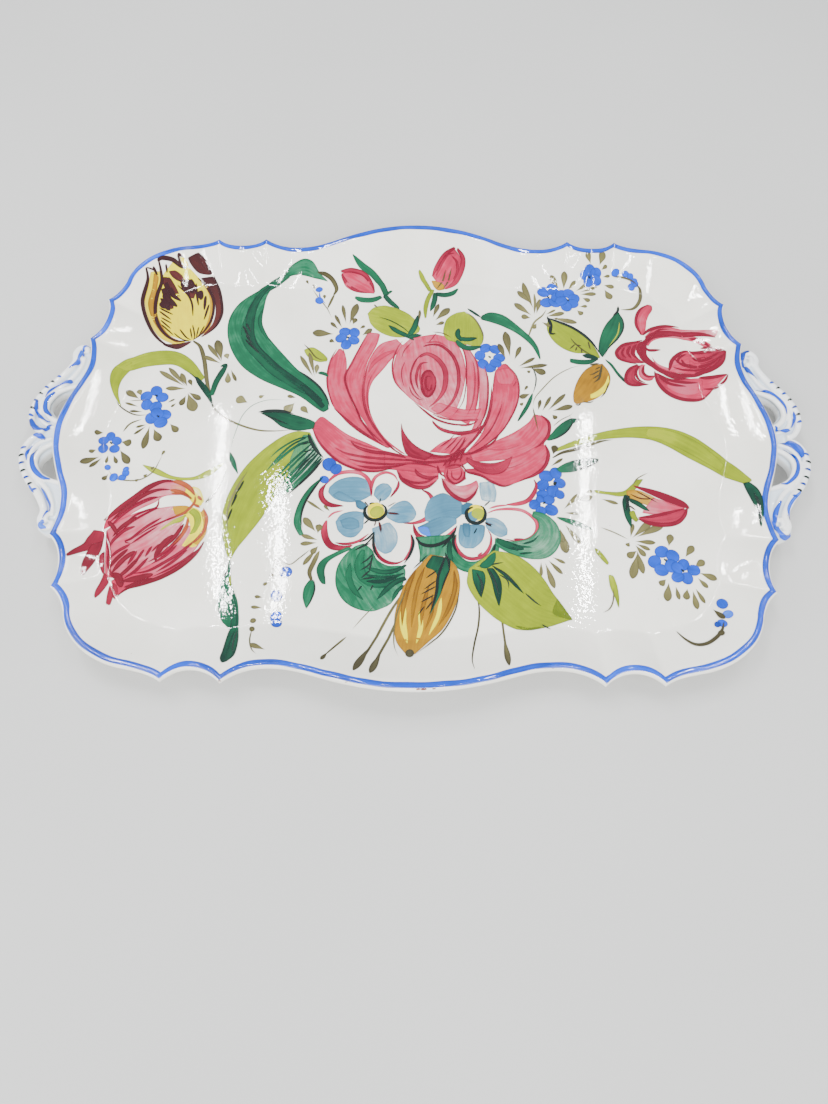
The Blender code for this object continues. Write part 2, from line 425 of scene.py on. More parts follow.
# %% [markdown]
# ## Ceramic paint
#
# The flowers are metal oxides in water, brushed on the raw glaze, which drinks the water at once, so
# no stroke can be wiped out. In the kiln each stroke melts into the glass. It could be a picture on
# one surface, but a picture blurs when seen close. Here every stroke is its own thin film, bent from
# a grid along the brush's path and laid on the dish. Each corner of the film carries how far it is
# along and across the stroke, how much paint the brush held there, and how far the border is.
# The material reads those: thin paint is pale and clear, thick paint deep, and a wash dries darker
# at its border, as a puddle does.

# %% Pigments
# Each pigment: its colour thin, full and thick, as it comes out of the kiln over white glaze.
PIGMENTS = {
    "rose_pink": ("#D57286", "#AC2846", "#6A0420"),
    "cobalt_blue": ("#4E90EC", "#0448CC", "#062E86"),
    "grey_blue": ("#8AABBC", "#487890", "#28546C"),
    "copper_green": ("#40926C", "#085436", "#04281E"),
    "leaf_green": ("#B4BD2C", "#808F06", "#516104"),
    "antimony_yellow": ("#EAE000", "#DCD000", "#C8AC00"),
    "iron_ochre": ("#C89A14", "#9C7000", "#603C04"),
    "manganese_brown": ("#8A5C4C", "#4E1E1A", "#2A0C10"),
    "olive_brown": ("#9C9868", "#66613A", "#39341E"),
    "bare_clay": ("#C58F70", "#9C5A3C", "#6B3420"),
    "outline_black": ("#5A6660", "#26352F", "#0E1716"),
    "wine_red": ("#BC6076", "#8E1832", "#5E0A1C"),
    "iron_red": ("#D99A6A", "#B0562F", "#7A2E16"),
}


def pigment(name, thin, full, thick):
    """A fired pigment: colour by how much paint lies there, streaked along the brush's path."""
    paint = new_material(name)
    where = add_node(paint, "ShaderNodeTexCoord").outputs["Object"]
    brush = add_node(paint, "ShaderNodeAttribute", attribute_name="brush").outputs["Vector"]
    coat = add_node(paint, "ShaderNodeAttribute", attribute_name="coat").outputs["Vector"]
    parts = add_node(paint, "ShaderNodeSeparateXYZ", {"Vector": coat})
    # Hairs of the brush leave streaks about a millimetre apart and ten times as long.
    hair_path = add_node(paint, "ShaderNodeMapping", {"Vector": brush, "Scale": (0.07, 0.75, 1.0)})
    hairs = add_node(
        paint, "ShaderNodeTexNoise", {"Vector": hair_path.outputs["Vector"], "Scale": 1.0,
            "Detail": 2.0}
    )
    puddle = noise(paint, where, 6, 3.0)
    streak = remap(paint, hairs.outputs["Fac"], (0.3, 0.7), (-0.07, 0.07))
    pool = remap(
        paint, parts.outputs["Y"], (0.2, 1.3), (0.16, 0.0), interpolation_type="SMOOTHSTEP"
    )
    blot = remap(paint, puddle, (0.3, 0.7), (-0.06, 0.06))
    amount = parts.outputs["X"]
    for change in (streak, blot, pool):
        amount = compute(paint, "ADD", amount, change)
    tone = ramp(paint, amount, [(0.04, linear(thin)), (0.42, linear(full)), (0.88, linear(thick))])
    # The border is soft over a few tenths of a millimetre, and ragged where the brush ran dry.
    ragged = compute(paint, "MULTIPLY_ADD", hairs.outputs["Fac"], -0.16, parts.outputs["Y"])
    border = remap(paint, ragged, (-0.04, 0.26), interpolation_type="SMOOTHSTEP")
    cover = remap(paint, amount, (0.0, 0.36), (0.35, 0.99))
    alpha = compute(paint, "MULTIPLY", border, cover)
    return glass_skin(paint, tone, where, alpha)


PAINT = {name: pigment(name, *colours) for name, colours in PIGMENTS.items()}
print("pigments:", ", ".join(PAINT))


# %% Curves for the brush
def through(points, count):
    """A smooth curve through given points, as count evenly spaced points."""
    knots = [Vector(p) for p in points]
    if len(knots) == 1:
        return knots * count
    ends = [2 * knots[0] - knots[1]] + knots + [2 * knots[-1] - knots[-2]]
    fine = []
    for a, b, c, d in zip(ends, ends[1:], ends[2:], ends[3:]):
        for step in range(12):
            t = step / 12
            turn = 2 * b + (c - a) * t + (2 * a - 5 * b + 4 * c - d) * t**2
            fine.append((turn + (3 * b - a - 3 * c + d) * t**3) / 2)
    fine.append(knots[-1])
    marks = [0.0]
    for a, b in zip(fine, fine[1:]):
        marks.append(marks[-1] + (b - a).length)
    spread = []
    k = 0
    for step in range(count):
        goal = marks[-1] * step / (count - 1)
        while k < len(marks) - 2 and marks[k + 1] < goal:
            k += 1
        gap = max(marks[k + 1] - marks[k], 1e-9)
        spread.append(fine[k].lerp(fine[k + 1], (goal - marks[k]) / gap))
    return spread


def length_of(points):
    return sum(((Vector(b) - Vector(a)).length for a, b in zip(points, points[1:])), 0.0)


# %% Laying strokes
FILM_LIFT = 0.05  # a fired stroke stands this proud of the glaze, in mm
STROKE_LIFT = 0.004  # and each later stroke of a motif this much more
BRUSH_SPREAD = 1.3  # wet paint runs out this much wider than the brush that laid it
RAY_START = 60  # films are dropped on the surface from this height, in mm
LIP_TOP = 27  # the height where the nearest glaze is looked for past the lip, in mm
WASH_STEP = 1.5  # the length of a film's faces in a wash, in mm
WASH_ROW = 1.6  # and their width
DAB_STEP = 0.7  # the length of a film's faces in a dab, in mm
BLOT_SPREAD = 1.14  # a round touch runs out less than a stroke


class Motif:
    """A painted motif: films of brush strokes lying on the dish, laid one over the other."""

    def __init__(self, name, surface=dish_surface, lift=FILM_LIFT, fineness=1):
        self.name = name
        self.surface = surface
        self.lift = lift
        self.fineness = fineness
        self.shape = bmesh.new()
        self.brush = self.shape.verts.layers.float_vector.new("brush")
        self.coat = self.shape.verts.layers.float_vector.new("coat")
        self.pigments = []
        self.strokes = 0

    def lay(self, paint, side_a, side_b, loads, rows):
        """A film between two sides of equal point count. loads: paint at start, middle and end."""
        count = len(side_a)
        if paint not in self.pigments:
            self.pigments.append(paint)
        lift = self.lift + STROKE_LIFT * self.strokes
        self.strokes += 1
        marks = [0.0]
        for (a, b), (c, d) in zip(zip(side_a, side_b), zip(side_a[1:], side_b[1:])):
            marks.append(marks[-1] + ((c + d) / 2 - (a + b) / 2).length)

        def place(vert, i, j):
            across = (1 - math.cos(math.pi * j / rows)) / 2
            wide = (side_b[i] - side_a[i]).length
            spot = side_a[i].lerp(side_b[i], across)
            above = Vector((spot.x, spot.y, RAY_START)) * MM
            hit, normal, _, _ = self.surface.ray_cast(above, Vector((0, 0, -1)))
            if hit is None:
                # Past the lip: the brush slips over the edge, so the nearest glaze is taken.
                hit, normal, _, _ = self.surface.find_nearest(Vector((spot.x, spot.y, LIP_TOP)) * MM)
            vert.co = hit + normal * lift * MM
            along = i / (count - 1)
            border = min(across * wide, (1 - across) * wide, marks[i] + 0.05,
                marks[-1] - marks[i] + 0.05)
            load = loads[0] + (loads[-1] - loads[0]) * along
            if len(loads) == 3:
                load = loads[1] + (loads[2] - loads[1]) * (2 * along - 1)
                if along < 0.5:
                    load = loads[0] + (loads[1] - loads[0]) * 2 * along
            vert[self.brush] = (marks[i], (across - 0.5) * wide, self.strokes * 7.3)
            vert[self.coat] = (load, border, 0)

        made = bent_grid(self.shape, count - 1, rows, place)
        slot = self.pigments.index(paint)
        for face in {face for vert in made for face in vert.link_faces}:
            face.material_index = slot

    def wash(self, paint, left, right, loads=(0.4, 0.4)):
        """A broad patch between a left and a right border, brushed from their first points on."""
        count = max(8, round(max(length_of(left), length_of(right)) / WASH_STEP))
        a = through(left, count)
        b = through(right, count)
        widest = max((q - p).length for p, q in zip(a, b))
        self.lay(paint, a, b, loads, max(4, min(16, round(widest / WASH_ROW))))

    def stroke(self, paint, width, points, loads=(0.8, 0.8), ends=(0.25, 0.15)):
        """A line of the brush: it starts and lifts off at the given shares of its full width."""
        count = max(6, round(length_of(points) * self.fineness))
        spine = through(points, count)
        a, b = [], []
        for i, spot in enumerate(spine):
            ahead = spine[min(i + 1, count - 1)] - spine[max(i - 1, 0)]
            side = Vector((-ahead.y, ahead.x)).normalized()
            t = i / (count - 1)
            swell = min(1.0, ends[0] + (1 - ends[0]) * math.sin(min(t / 0.3, 1) * math.pi / 2))
            lift_off = ends[1] + (1 - ends[1]) * math.sin(min((1 - t) / 0.45, 1) * math.pi / 2)
            half = width * BRUSH_SPREAD * min(swell, lift_off) / 2
            a.append(spot + side * half)
            b.append(spot - side * half)
        self.lay(paint, a, b, loads, (4 if width > 1.2 else 2) * self.fineness)

    def dab(self, paint, tail, head, width, loads=(0.45, 0.75)):
        """One touch of the brush: a drop from its thin tail to its round head."""
        start = Vector(tail)
        way = Vector(head) - start
        side = Vector((-way.y, way.x)).normalized()
        count = max(8, round(way.length / DAB_STEP))
        a, b = [], []
        for i in range(count):
            t = i / (count - 1)
            half = width * 0.62 * BRUSH_SPREAD * math.sin(math.pi * t**1.6) ** 0.7 * t**0.6
            a.append(start + way * t + side * half)
            b.append(start + way * t - side * half)
        self.lay(paint, a, b, loads, 4)

    def blot(self, paint, centre, radius, loads=(0.5, 0.5)):
        """A round touch made with the flat of a full brush."""
        angle = self.strokes * 1.9
        way = Vector((math.cos(angle), math.sin(angle))) * radius * BLOT_SPREAD
        side = Vector((-way.y, way.x))
        a, b = [], []
        for i in range(9):
            t = math.pi * i / 8
            middle = Vector(centre) - way * math.cos(t)
            a.append(middle + side * 0.92 * math.sin(t))
            b.append(middle - side * 0.92 * math.sin(t))
        self.lay(paint, a, b, loads, 6)

    def sprig(self, root, heads, width=2.6, loads=(0.35, 0.55)):
        """Olive drops that fan out from a root."""
        for head in heads:
            self.dab("olive_brown", root, head, width, loads)

    def finish(self):
        """Turns the films up and makes them one piece that rides on the platter."""
        for face in self.shape.faces:
            face.normal_update()
        down = [face for face in self.shape.faces if face.normal.z < 0]
        bmesh.ops.reverse_faces(self.shape, faces=down)
        piece = finish_piece(self.name, self.shape, [PAINT[p] for p in self.pigments], 60)
        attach(piece, "root")

# %% [markdown]
# ## The great rose
#
# The rose fills the middle. A painter lays it in two goes: first pale washes, petal by petal from
# the outside in, leaving bare glaze for the light, and then the same brush, loaded with thicker
# paint, draws the petal borders and winds the spiral of the heart.

# %% Rose washes
rose = Motif("painted_rose")
PINK = "rose_pink"
for left, right, loads in (
    ([(-48, 67), (-52.5, 58), (-54, 48), (-53.5, 38), (-50, 25), (-40, 13), (-29, 3), (-16, -5)],
     [(-46, 67), (-43, 61), (-42, 52), (-43, 44), (-40, 33), (-35, 21), (-27, 9), (-14, -4)],
     (0.42, 0.36, 0.5)),
    ([(-30, 80), (-34, 70), (-39, 58), (-43, 46), (-40, 34), (-34, 20), (-26, 7), (-14, -5)],
     [(-22, 79), (-24, 70), (-29, 58), (-31, 48), (-32, 36), (-29, 20), (-22, 7), (-11, -6)],
     (0.34, 0.4, 0.5)),
    ([(-12, 75), (-22, 71), (-28, 61), (-31, 50), (-32, 36), (-29, 20), (-21, 4), (-8, -8)], [(-7, 69),
     (-14, 60), (-20, 51), (-26, 42), (-28, 32), (-26, 18), (-18, 3), (-5, -9)], (0.32, 0.38, 0.48)),
    ([(-3, 76), (-11, 66), (-14, 52), (-12, 42), (-5, 32), (3, 25), (12, 19), (20, 15)], [(12, 79),
     (23, 75), (29, 64), (31, 50), (29, 36), (26, 26), (23, 19), (21, 15)], (0.32, 0.28, 0.14)),
    ([(24, 76), (30, 64), (31, 50), (31, 36), (30, 24), (27, 14)], [(31, 72), (37, 60), (38.5, 48),
     (38, 34), (36, 22), (32, 12)], (0.3, 0.34, 0.38)),
    ([(37, 60), (38.5, 48), (38.5, 34), (37, 20), (33, 8), (28, -2)], [(43, 54), (44.5, 44), (44, 32),
     (42, 20), (38, 8), (31, -4)], (0.22, 0.3, 0.38)),
    ([(52, 56), (48.5, 50), (47, 40), (45.5, 28), (43, 16), (38, 4), (29, -8)], [(56, 57), (61, 49),
     (63, 39), (62, 29), (58, 18), (50, 5), (33, -10)], (0.5, 0.36, 0.48)),
    ([(49, 52), (48.5, 46), (51, 41)], [(57, 54), (61, 48), (59, 41)], (0.42, 0.3)),
    ([(10, 15.5), (15, 10.5), (22, 7.5), (30, 6), (38, 9)], [(10, 13), (14, 8.5), (21, 5.5), (30, 4),
     (40, 6)], (0.6, 0.5)),
    ([(-61, 11), (-56, 17), (-50, 13), (-40, 5), (-28, -1), (-16, -7), (-3, -12)], [(-61, 8), (-55, -3),
     (-46, -13), (-36, -18.5), (-24, -20.5), (-14, -19), (-4, -15)], (0.52, 0.34, 0.62)),
    ([(71, 20), (67, 14), (58, 7), (47, 1), (38, -5), (28, -11)], [(76, 19), (80, 11), (77, 1),
     (71, -7), (52, -12), (30, -14)], (0.4, 0.36, 0.42)),
    ([(77, -1), (70, -3), (62, -8), (50, -13), (38, -17), (29, -18)], [(78, -8), (75, -17), (66, -24),
     (52, -29), (42, -25), (30, -21)], (0.42, 0.36, 0.6)),
    ([(-12, -15), (-4, -15), (6, -17), (14, -18)], [(-10, -22), (-4, -29), (6, -31.5), (14, -25)],
     (0.5, 0.42, 0.4)),
    ([(16, -18), (22, -16), (28, -17)], [(17, -25), (23, -29), (30, -25)], (0.5, 0.4)),
    ([(16, -24), (24, -29), (31, -28), (36, -25)], [(19, -31), (25, -38), (32, -38), (37, -30)],
     (0.25, 0.2, 0.3)),
    ([(-6, 1), (2, -6), (12, -9), (22, -9), (32, -6)], [(-5, -9), (2, -14), (12, -17), (24, -18),
     (34, -12)], (0.62, 0.72, 0.6)),
):
    rose.wash(PINK, left, right, loads)

for left, right, loads in (
    ([(-18, -6), (-6, -9), (6, -11), (18, -12)], [(-18, -19), (-6, -20), (6, -21), (18, -21)],
     (0.5, 0.5, 0.45)),
    ([(9, 23), (17, 17.5), (26, 14.5), (36, 14)], [(14, 28), (22, 25), (31, 23), (40, 24)],
     (0.26, 0.34, 0.36)),
    ([(8, -7), (16, 0), (26, 4), (36, 6)], [(26, -9), (31, -4), (36, 2), (40, 8)], (0.42, 0.34, 0.22)),
):
    rose.wash(PINK, left, right, loads)

# %% Rose lines
# The outer petals on the left.
for touch in (
    (1.1, [(-49, 67), (-52.5, 58), (-54, 47), (-53, 36), (-49, 24)], (0.6, 0.75), (0.3, 0.4)),
    (0.8, [(-45.5, 67), (-43.2, 61)], (0.6, 0.3)),
    (1.2, [(-30, 80), (-34, 70), (-39, 57), (-43, 46), (-41, 36), (-36, 24), (-30, 11), (-22, 0),
     (-15, -5)], (0.62, 0.8, 0.75), (0.3, 0.3)),
    (1.4, [(-49, 23), (-42, 16), (-33, 8), (-25, 2), (-18, -3)], (0.7, 0.8), (0.3, 0.2)),
    (1.5, [(-29, 56), (-31, 45), (-31.5, 33), (-29, 20), (-23, 8), (-14, -4), (-6, -10)],
     (0.55, 0.75, 0.85), (0.2, 0.5)),
    (0.9, [(-26, 50), (-29, 38), (-28.5, 26), (-25, 14)], (0.5, 0.7), (0.1, 0.1)),
    (2.6, [(-13, 66), (-20, 62), (-26, 56), (-29, 49)], (0.4, 0.5), (0.3, 0.2)),
    (1.0, [(-36, 24), (-32, 14), (-26, 6), (-18, -2)], (0.7, 0.8), (0.1, 0.3)),
    (1.1, [(-47, 21), (-38, 11), (-28, 3), (-20, 0)], (0.7, 0.7), (0.2, 0.1)),
    # The ball of inner petals.
    (1.1, [(-8, 74), (-12, 66), (-14.3, 55), (-13, 44), (-9, 37), (-4, 32)], (0.5, 0.7, 0.65)),
    (0.8, [(-2, 73), (-7, 66), (-9, 59)], (0.5, 0.6), (0.2, 0.1)),
    (0.8, [(-6, 59), (-8.5, 51), (-8, 43), (-6.5, 38)], (0.5, 0.7), (0.1, 0.2)),
    (0.9, [(13, 80), (19, 79), (24, 75), (29, 68), (31, 58), (31, 46), (30.5, 38), (28.5, 28), (23, 19),
     (18, 16)], (0.6, 0.7, 0.62), (0.3, 0.2)),
    (0.8, [(13, 80), (10, 75), (7, 71)], (0.6, 0.5)),
    (2.0, [(4.5, 69), (9, 70.5), (15, 70), (21, 65), (25, 57), (26.5, 47), (25.5, 37), (22, 28),
     (16, 21), (10, 19)], (0.82, 0.72, 0.55), (0.4, 0.2)),
    (1.2, [(6, 72), (14, 72.5), (21, 68)], (0.5, 0.4)),
    (2.8, [(2, 61), (7, 63.5), (13, 60), (17.5, 53), (18.5, 45), (17, 36), (13, 29), (8, 24)],
     (0.62, 0.74, 0.5), (0.5, 0.15)),
    (1.2, [(5, 64), (1, 60), (-2, 53), (-3, 45), (-1, 37), (3, 31), (7, 29.5)], (0.75, 0.65)),
    (1.6, [(8, 57), (3.5, 56), (1, 50), (0.5, 43), (2, 36)], (0.6, 0.75), (0.3, 0.2)),
    (0.9, [(-4, 40), (-2, 34), (2, 30), (6, 29)], (0.6, 0.7), (0.2, 0.2)),
):
    rose.stroke(PINK, *touch)
rose.wash(PINK, [(5.5, 51), (3.8, 46), (3.6, 40), (5, 34), (7, 31)], [(9, 51), (12.5, 46), (12.7, 40),
    (10.5, 34), (8, 31)], (0.8, 0.68, 0.85))
for touch in (
    (1.5, [(11.5, 47), (9, 51), (5.5, 49.5), (3.8, 44), (4, 37), (6.5, 32), (9.5, 33), (12, 38),
     (12.7, 43)], (0.85, 1.0, 0.9), (0.3, 0.3)),
    (1.3, [(9.5, 46), (7, 46.5), (6, 42), (7, 37), (9, 36.5), (10, 41)], (0.95, 1.0), (0.3, 0.4)),
    (1.0, [(3.8, 56), (2.8, 49), (3, 42), (4.5, 35)], (0.5, 0.7), (0.1, 0.2)),
    # The petals folded round the ball, lower right.
    (1.0, [(33, 67), (37.5, 58), (38.5, 47), (38, 34), (36.5, 24), (34, 17)], (0.6, 0.7, 0.6)),
    (1.0, [(35, 60), (36.3, 50), (36, 38), (34, 26), (30, 17)], (0.45, 0.6, 0.55)),
    (1.2, [(42, 55), (44, 46), (44, 34), (42.5, 22), (39, 13), (34, 7)], (0.6, 0.75, 0.7)),
    (1.7, [(46, 41), (46, 32), (44, 20), (40, 10), (34, 1), (28, -6)], (0.6, 0.78, 0.8), (0.1, 0.4)),
    (1.4, [(-1, 28), (5, 22), (12, 16), (21, 12.5), (30, 12), (37, 14)], (0.62, 0.75, 0.7), (0.2, 0.3)),
    (1.1, [(9, 20), (16, 16.5), (25, 15), (33, 15.5), (39, 16)], (0.6, 0.6), (0.1, 0.2)),
    (2.2, [(10, 14), (15, 9), (22, 6.5), (30, 6.5), (37, 9), (42, 13)], (0.7, 0.78, 0.7), (0.15, 0.3)),
    (1.0, [(26, 11), (33, 12), (38, 16)], (0.5, 0.7), (0.2, 0.2)),
    # The outer petals on the right.
    (1.0, [(53, 57), (57, 54.5), (61.5, 48), (63, 39), (61.5, 28), (57, 17), (50, 6), (40, -3),
     (30, -9)], (0.62, 0.72, 0.8), (0.3, 0.4)),
    (0.9, [(53, 30), (50, 20), (45, 9), (38, 0), (30, -7)], (0.6, 0.8), (0.1, 0.3)),
    (0.8, [(61.8, 44), (59, 39)], (0.6, 0.6)),
    (0.7, [(49, 52), (47.5, 42), (46.5, 34)], (0.5, 0.6)),
    # The low petals.
    (1.5, [(-61, 9), (-57, 0), (-50, -9), (-42, -15.5), (-32, -19.5), (-22, -20.5), (-13, -18)],
     (0.7, 0.85, 0.9), (0.3, 0.5)),
    (2.0, [(-38, 0), (-34, -4), (-26, -7), (-15, -8.5), (-5, -11)], (0.75, 0.85), (0.2, 0.4)),
    (1.4, [(-48, -4), (-40, -8.5), (-28, -11), (-15, -12), (-2, -13)], (0.6, 0.85), (0.1, 0.5)),
    (1.3, [(-40, -12), (-28, -14.5), (-16, -15.5), (-6, -15)], (0.65, 0.85), (0.15, 0.5)),
    (1.5, [(-34, -16.5), (-24, -18), (-12, -17), (-4, -15)], (0.7, 0.85), (0.2, 0.5)),
    (0.9, [(-42, 2), (-30, -3), (-20, -6)], (0.45, 0.6), (0.1, 0.1)),
):
    rose.stroke(PINK, *touch)
rose.wash(PINK, [(-8.2, 13.5), (-6.5, 7), (-2, 0), (4, -5), (12, -8.5)], [(-8.4, 13), (-8.4, 4),
    (-7, -4), (-4, -10), (6, -13)], (0.75, 0.8, 0.85))
rose.stroke(PINK, 1.6, [(4, -6), (12, -9.5), (20, -9.5), (27, -6), (34, 0)], (0.8, 0.8, 0.7),
    (0.2, 0.2))
for shift in range(5):
    hatch = [(14 + 3 * shift, -4 - 2.2 * shift), (20 + 2.2 * shift, 1 - 1.6 * shift),
             (24 + 2.4 * shift, 6 - shift)]
    rose.stroke(PINK, 0.9, hatch, (0.75, 0.6), (0.2, 0.2))
for width, points, loads, ends in (
    (1.2, [(22, -9), (27, -3), (30, 4)], (0.85, 0.7), (0.3, 0.2)),
    (1.4, [(28, -9), (36, -6.5), (45, -1), (51, 7)], (0.85, 0.7), (0.4, 0.15)),
    (1.6, [(-6, -12), (6, -14), (18, -13), (28, -11)], (0.85, 0.85), (0.3, 0.3)),
    (1.8, [(75, 19.5), (79.5, 14), (79, 6), (75, 0), (70, -4)], (0.75, 0.8, 0.65), (0.3, 0.15)),
    (2.0, [(76.5, -1), (78, -8), (75.5, -16), (69, -22), (60, -26)], (0.75, 0.8, 0.75), (0.3, 0.2)),
):
    rose.stroke(PINK, width, points, loads, ends)
rose.wash(PINK, [(30, -10), (36, -13), (45, -14), (52, -12), (57, -9)], [(30, -14), (37, -20),
    (46, -22), (53, -19), (57, -10)], (0.75, 0.7, 0.62))
for width, points, loads, ends in (
    (1.5, [(30, -20), (38, -22.5), (44, -26.5), (51, -29.5), (58, -27.5)], (0.8, 0.8, 0.7), (0.3, 0.2)),
    (0.7, [(30, -15), (44, -18), (56, -17), (68, -11)], (0.5, 0.4), (0.1, 0.1)),
    (0.7, [(36, -4), (52, -5), (66, 0)], (0.4, 0.3), (0.1, 0.1)),
    # The small curled petals under the heart.
    (2.2, [(-10, -20), (-7, -26), (0, -30.5), (7, -30.5), (13, -26)], (0.85, 0.85, 0.7), (0.3, 0.25)),
    (1.4, [(-8, -24), (-1, -27.5), (7, -27), (13, -23)], (0.8, 0.65), (0.2, 0.2)),
    (2.0, [(0, -18), (2, -22), (8, -24.5), (14, -23)], (0.75, 0.75), (0.15, 0.3)),
    (1.2, [(-12, -17), (-4, -14.8), (6, -15.5), (14, -18)], (0.7, 0.75), (0.2, 0.3)),
    (1.3, [(13, -16), (14.5, -21), (18, -24)], (0.95, 0.9), (0.4, 0.3)),
    (1.2, [(19, -18), (19, -24), (23, -28), (28, -25), (29, -19), (27, -14)], (0.8, 0.8, 0.8),
     (0.3, 0.3)),
    (0.9, [(21.5, -19), (21.5, -23.5), (24.5, -25.5), (27, -22), (26.5, -17)], (0.75, 0.7), (0.3, 0.2)),
    (2.3, [(15.5, -24), (18, -31), (23, -36.5), (29, -39), (34, -35), (36.5, -30)], (0.72, 0.88, 0.8),
     (0.25, 0.25)),
    (1.0, [(18, -17), (24, -15.5), (28, -17), (31, -21), (37, -22.5)], (0.8, 0.7), (0.3, 0.15)),
):
    rose.stroke(PINK, width, points, loads, ends)
for shift in range(4):
    hatch = [(16 + 3.4 * shift, -17 + shift), (20 + 2.5 * shift, -12 + shift),
             (26 + 1.5 * shift, -7 + shift)]
    rose.stroke(PINK, 1.1, hatch, (0.9, 0.75), (0.3, 0.2))
rose.finish()

# %% [markdown]
# ## The left side
#
# Around the rose the painter scatters garden flowers, turning the platter by its handles. Each motif
# is brushed in the same order: the pale body, the deeper marks, and last the thin dark accents that
# pull it together.

# %% Yellow tulip
tulip = Motif("painted_yellow_tulip")
YELLOW = "antimony_yellow"
BROWN = "manganese_brown"
OCHRE = "iron_ochre"
for left, right, loads in (
    ([(-170, 120), (-171, 110), (-172, 99), (-168, 86), (-160, 74), (-150, 68.5)], [(-164, 122),
     (-163.5, 110), (-165, 98), (-161, 84), (-153, 74), (-143, 71)], (0.6, 0.7, 0.75)),
    ([(-157, 129), (-163, 118), (-164.5, 104), (-164, 90), (-156, 77), (-142, 71.5)], [(-147, 127),
     (-138, 118), (-130, 106), (-129, 90), (-133, 78), (-139, 72)], (0.4, 0.62, 0.55)),
):
    tulip.wash(YELLOW, left, right, loads)
for left, right, loads in (
    ([(-168, 120), (-168.5, 110), (-170, 98), (-166, 87), (-158, 76), (-149, 70)], [(-164.5, 118),
     (-165.5, 108), (-165.5, 98), (-161.5, 87), (-154, 76), (-145, 71)], (0.42, 0.55, 0.5)),
    ([(-138, 118), (-133, 108), (-131, 95), (-133, 82), (-138, 74)], [(-134, 115), (-129.5, 104),
     (-128, 92), (-130, 81), (-136.5, 74)], (0.2, 0.3, 0.3)),
):
    tulip.wash(OCHRE, left, right, loads)
tulip.wash(YELLOW, [(-152.5, 133.5), (-152, 130), (-149.5, 127)], [(-149.5, 132), (-147.5, 129.5),
    (-147, 127)])
for left, right, loads in (
    ([(-139.5, 120.5), (-134, 114), (-129.5, 105), (-127.5, 94), (-129, 84), (-135, 74.5)],
     [(-131, 122.5), (-127, 113), (-124, 102), (-123.3, 92), (-126.5, 82), (-133, 75)],
     (0.85, 0.55, 0.42)),
    ([(-148, 132.5), (-146, 128.5), (-141, 123.5), (-135, 122.5)], [(-141, 136.8), (-136.5, 133),
     (-133, 128), (-131.5, 123)], (0.8, 0.7)),
    ([(-158, 69.5), (-150, 69.5), (-144, 70.8), (-140, 72)], [(-156, 67.3), (-148, 65), (-142.5, 68),
     (-139.5, 71)], (0.75, 0.7)),
    ([(-159.5, 122.5), (-157, 119), (-152.5, 116.5)], [(-155, 124), (-150.5, 121), (-149, 117.5)],
     (0.5, 0.5)),
    ([(-164, 118), (-161, 111), (-156, 106)], [(-158, 119), (-154, 113), (-151, 107)], (0.7, 0.5)),
    ([(-153, 118), (-149, 112), (-146, 106)], [(-144, 119.5), (-141.5, 112), (-142, 105)], (0.75, 0.5)),
    ([(-163.8, 104), (-161, 99.5), (-157, 96)], [(-158.5, 105), (-155, 101), (-154, 97)], (0.8, 0.55)),
):
    tulip.wash(BROWN, left, right, loads)
for line, width in (
    ([(-172.6, 122.5), (-171.2, 115), (-172.6, 105), (-173, 98), (-170.5, 89), (-165, 78.5),
     (-158, 70.5), (-150, 66.3)], 1.6),
    ([(-166, 130), (-164, 123), (-163, 115), (-165, 106), (-165.5, 96), (-163.5, 87), (-158, 78),
     (-150, 72), (-141, 71.8)], 1.5),
    ([(-141, 120.5), (-135, 114.5), (-130, 105), (-128.7, 95), (-130, 86), (-134, 77.5), (-139, 72.5)],
     1.2),
    ([(-131, 122.5), (-126.5, 112), (-123.6, 100), (-123.2, 92), (-126, 83), (-132, 76)], 1.2),
    ([(-153.5, 114.5), (-147, 109), (-143, 101), (-141.2, 91)], 1.0),
    ([(-142, 117), (-140.6, 108), (-138.6, 99.5)], 1.1),
    ([(-135, 108), (-134.6, 96)], 1.3),
    ([(-132, 101), (-134, 88)], 1.0),
    ([(-163.5, 97.5), (-153.6, 92)], 0.9),
    ([(-163.2, 95), (-154.5, 88)], 0.9),
    ([(-161.5, 90), (-153.5, 85)], 0.8),
    ([(-161.5, 88), (-153.6, 80.7)], 0.8),
    ([(-160.5, 84.5), (-151.5, 76)], 0.8),
    ([(-148.5, 81), (-143.5, 74.5), (-140, 72.5)], 0.8),
    ([(-152, 78), (-146, 73), (-141, 71.8)], 0.7),
    ([(-140.7, 84.5), (-138.4, 76), (-138.8, 72)], 0.7),
    ([(-142, 82), (-139.6, 73)], 0.7),
    ([(-136.6, 83), (-137.2, 74)], 0.7),
    ([(-133, 84), (-136, 75)], 0.7),
    ([(-168.6, 124), (-165.8, 118.5)], 1.2),
    ([(-172.5, 122.3), (-168, 121.5), (-165, 118.5)], 0.9),
    ([(-166, 127.5), (-163.5, 130), (-157, 130), (-151.5, 126.5), (-148, 126.3)], 2.0),
    ([(-154, 134.6), (-152.7, 130), (-151, 127)], 1.1),
    ([(-154, 134.6), (-150.5, 132.5)], 1.3),
    ([(-161, 127), (-160, 121)], 1.0),
    ([(-136, 129.5), (-131.5, 122.8)], 0.9),
):
    tulip.stroke(BROWN, width * 1.35, line, (0.85, 0.9), (0.5, 0.4))
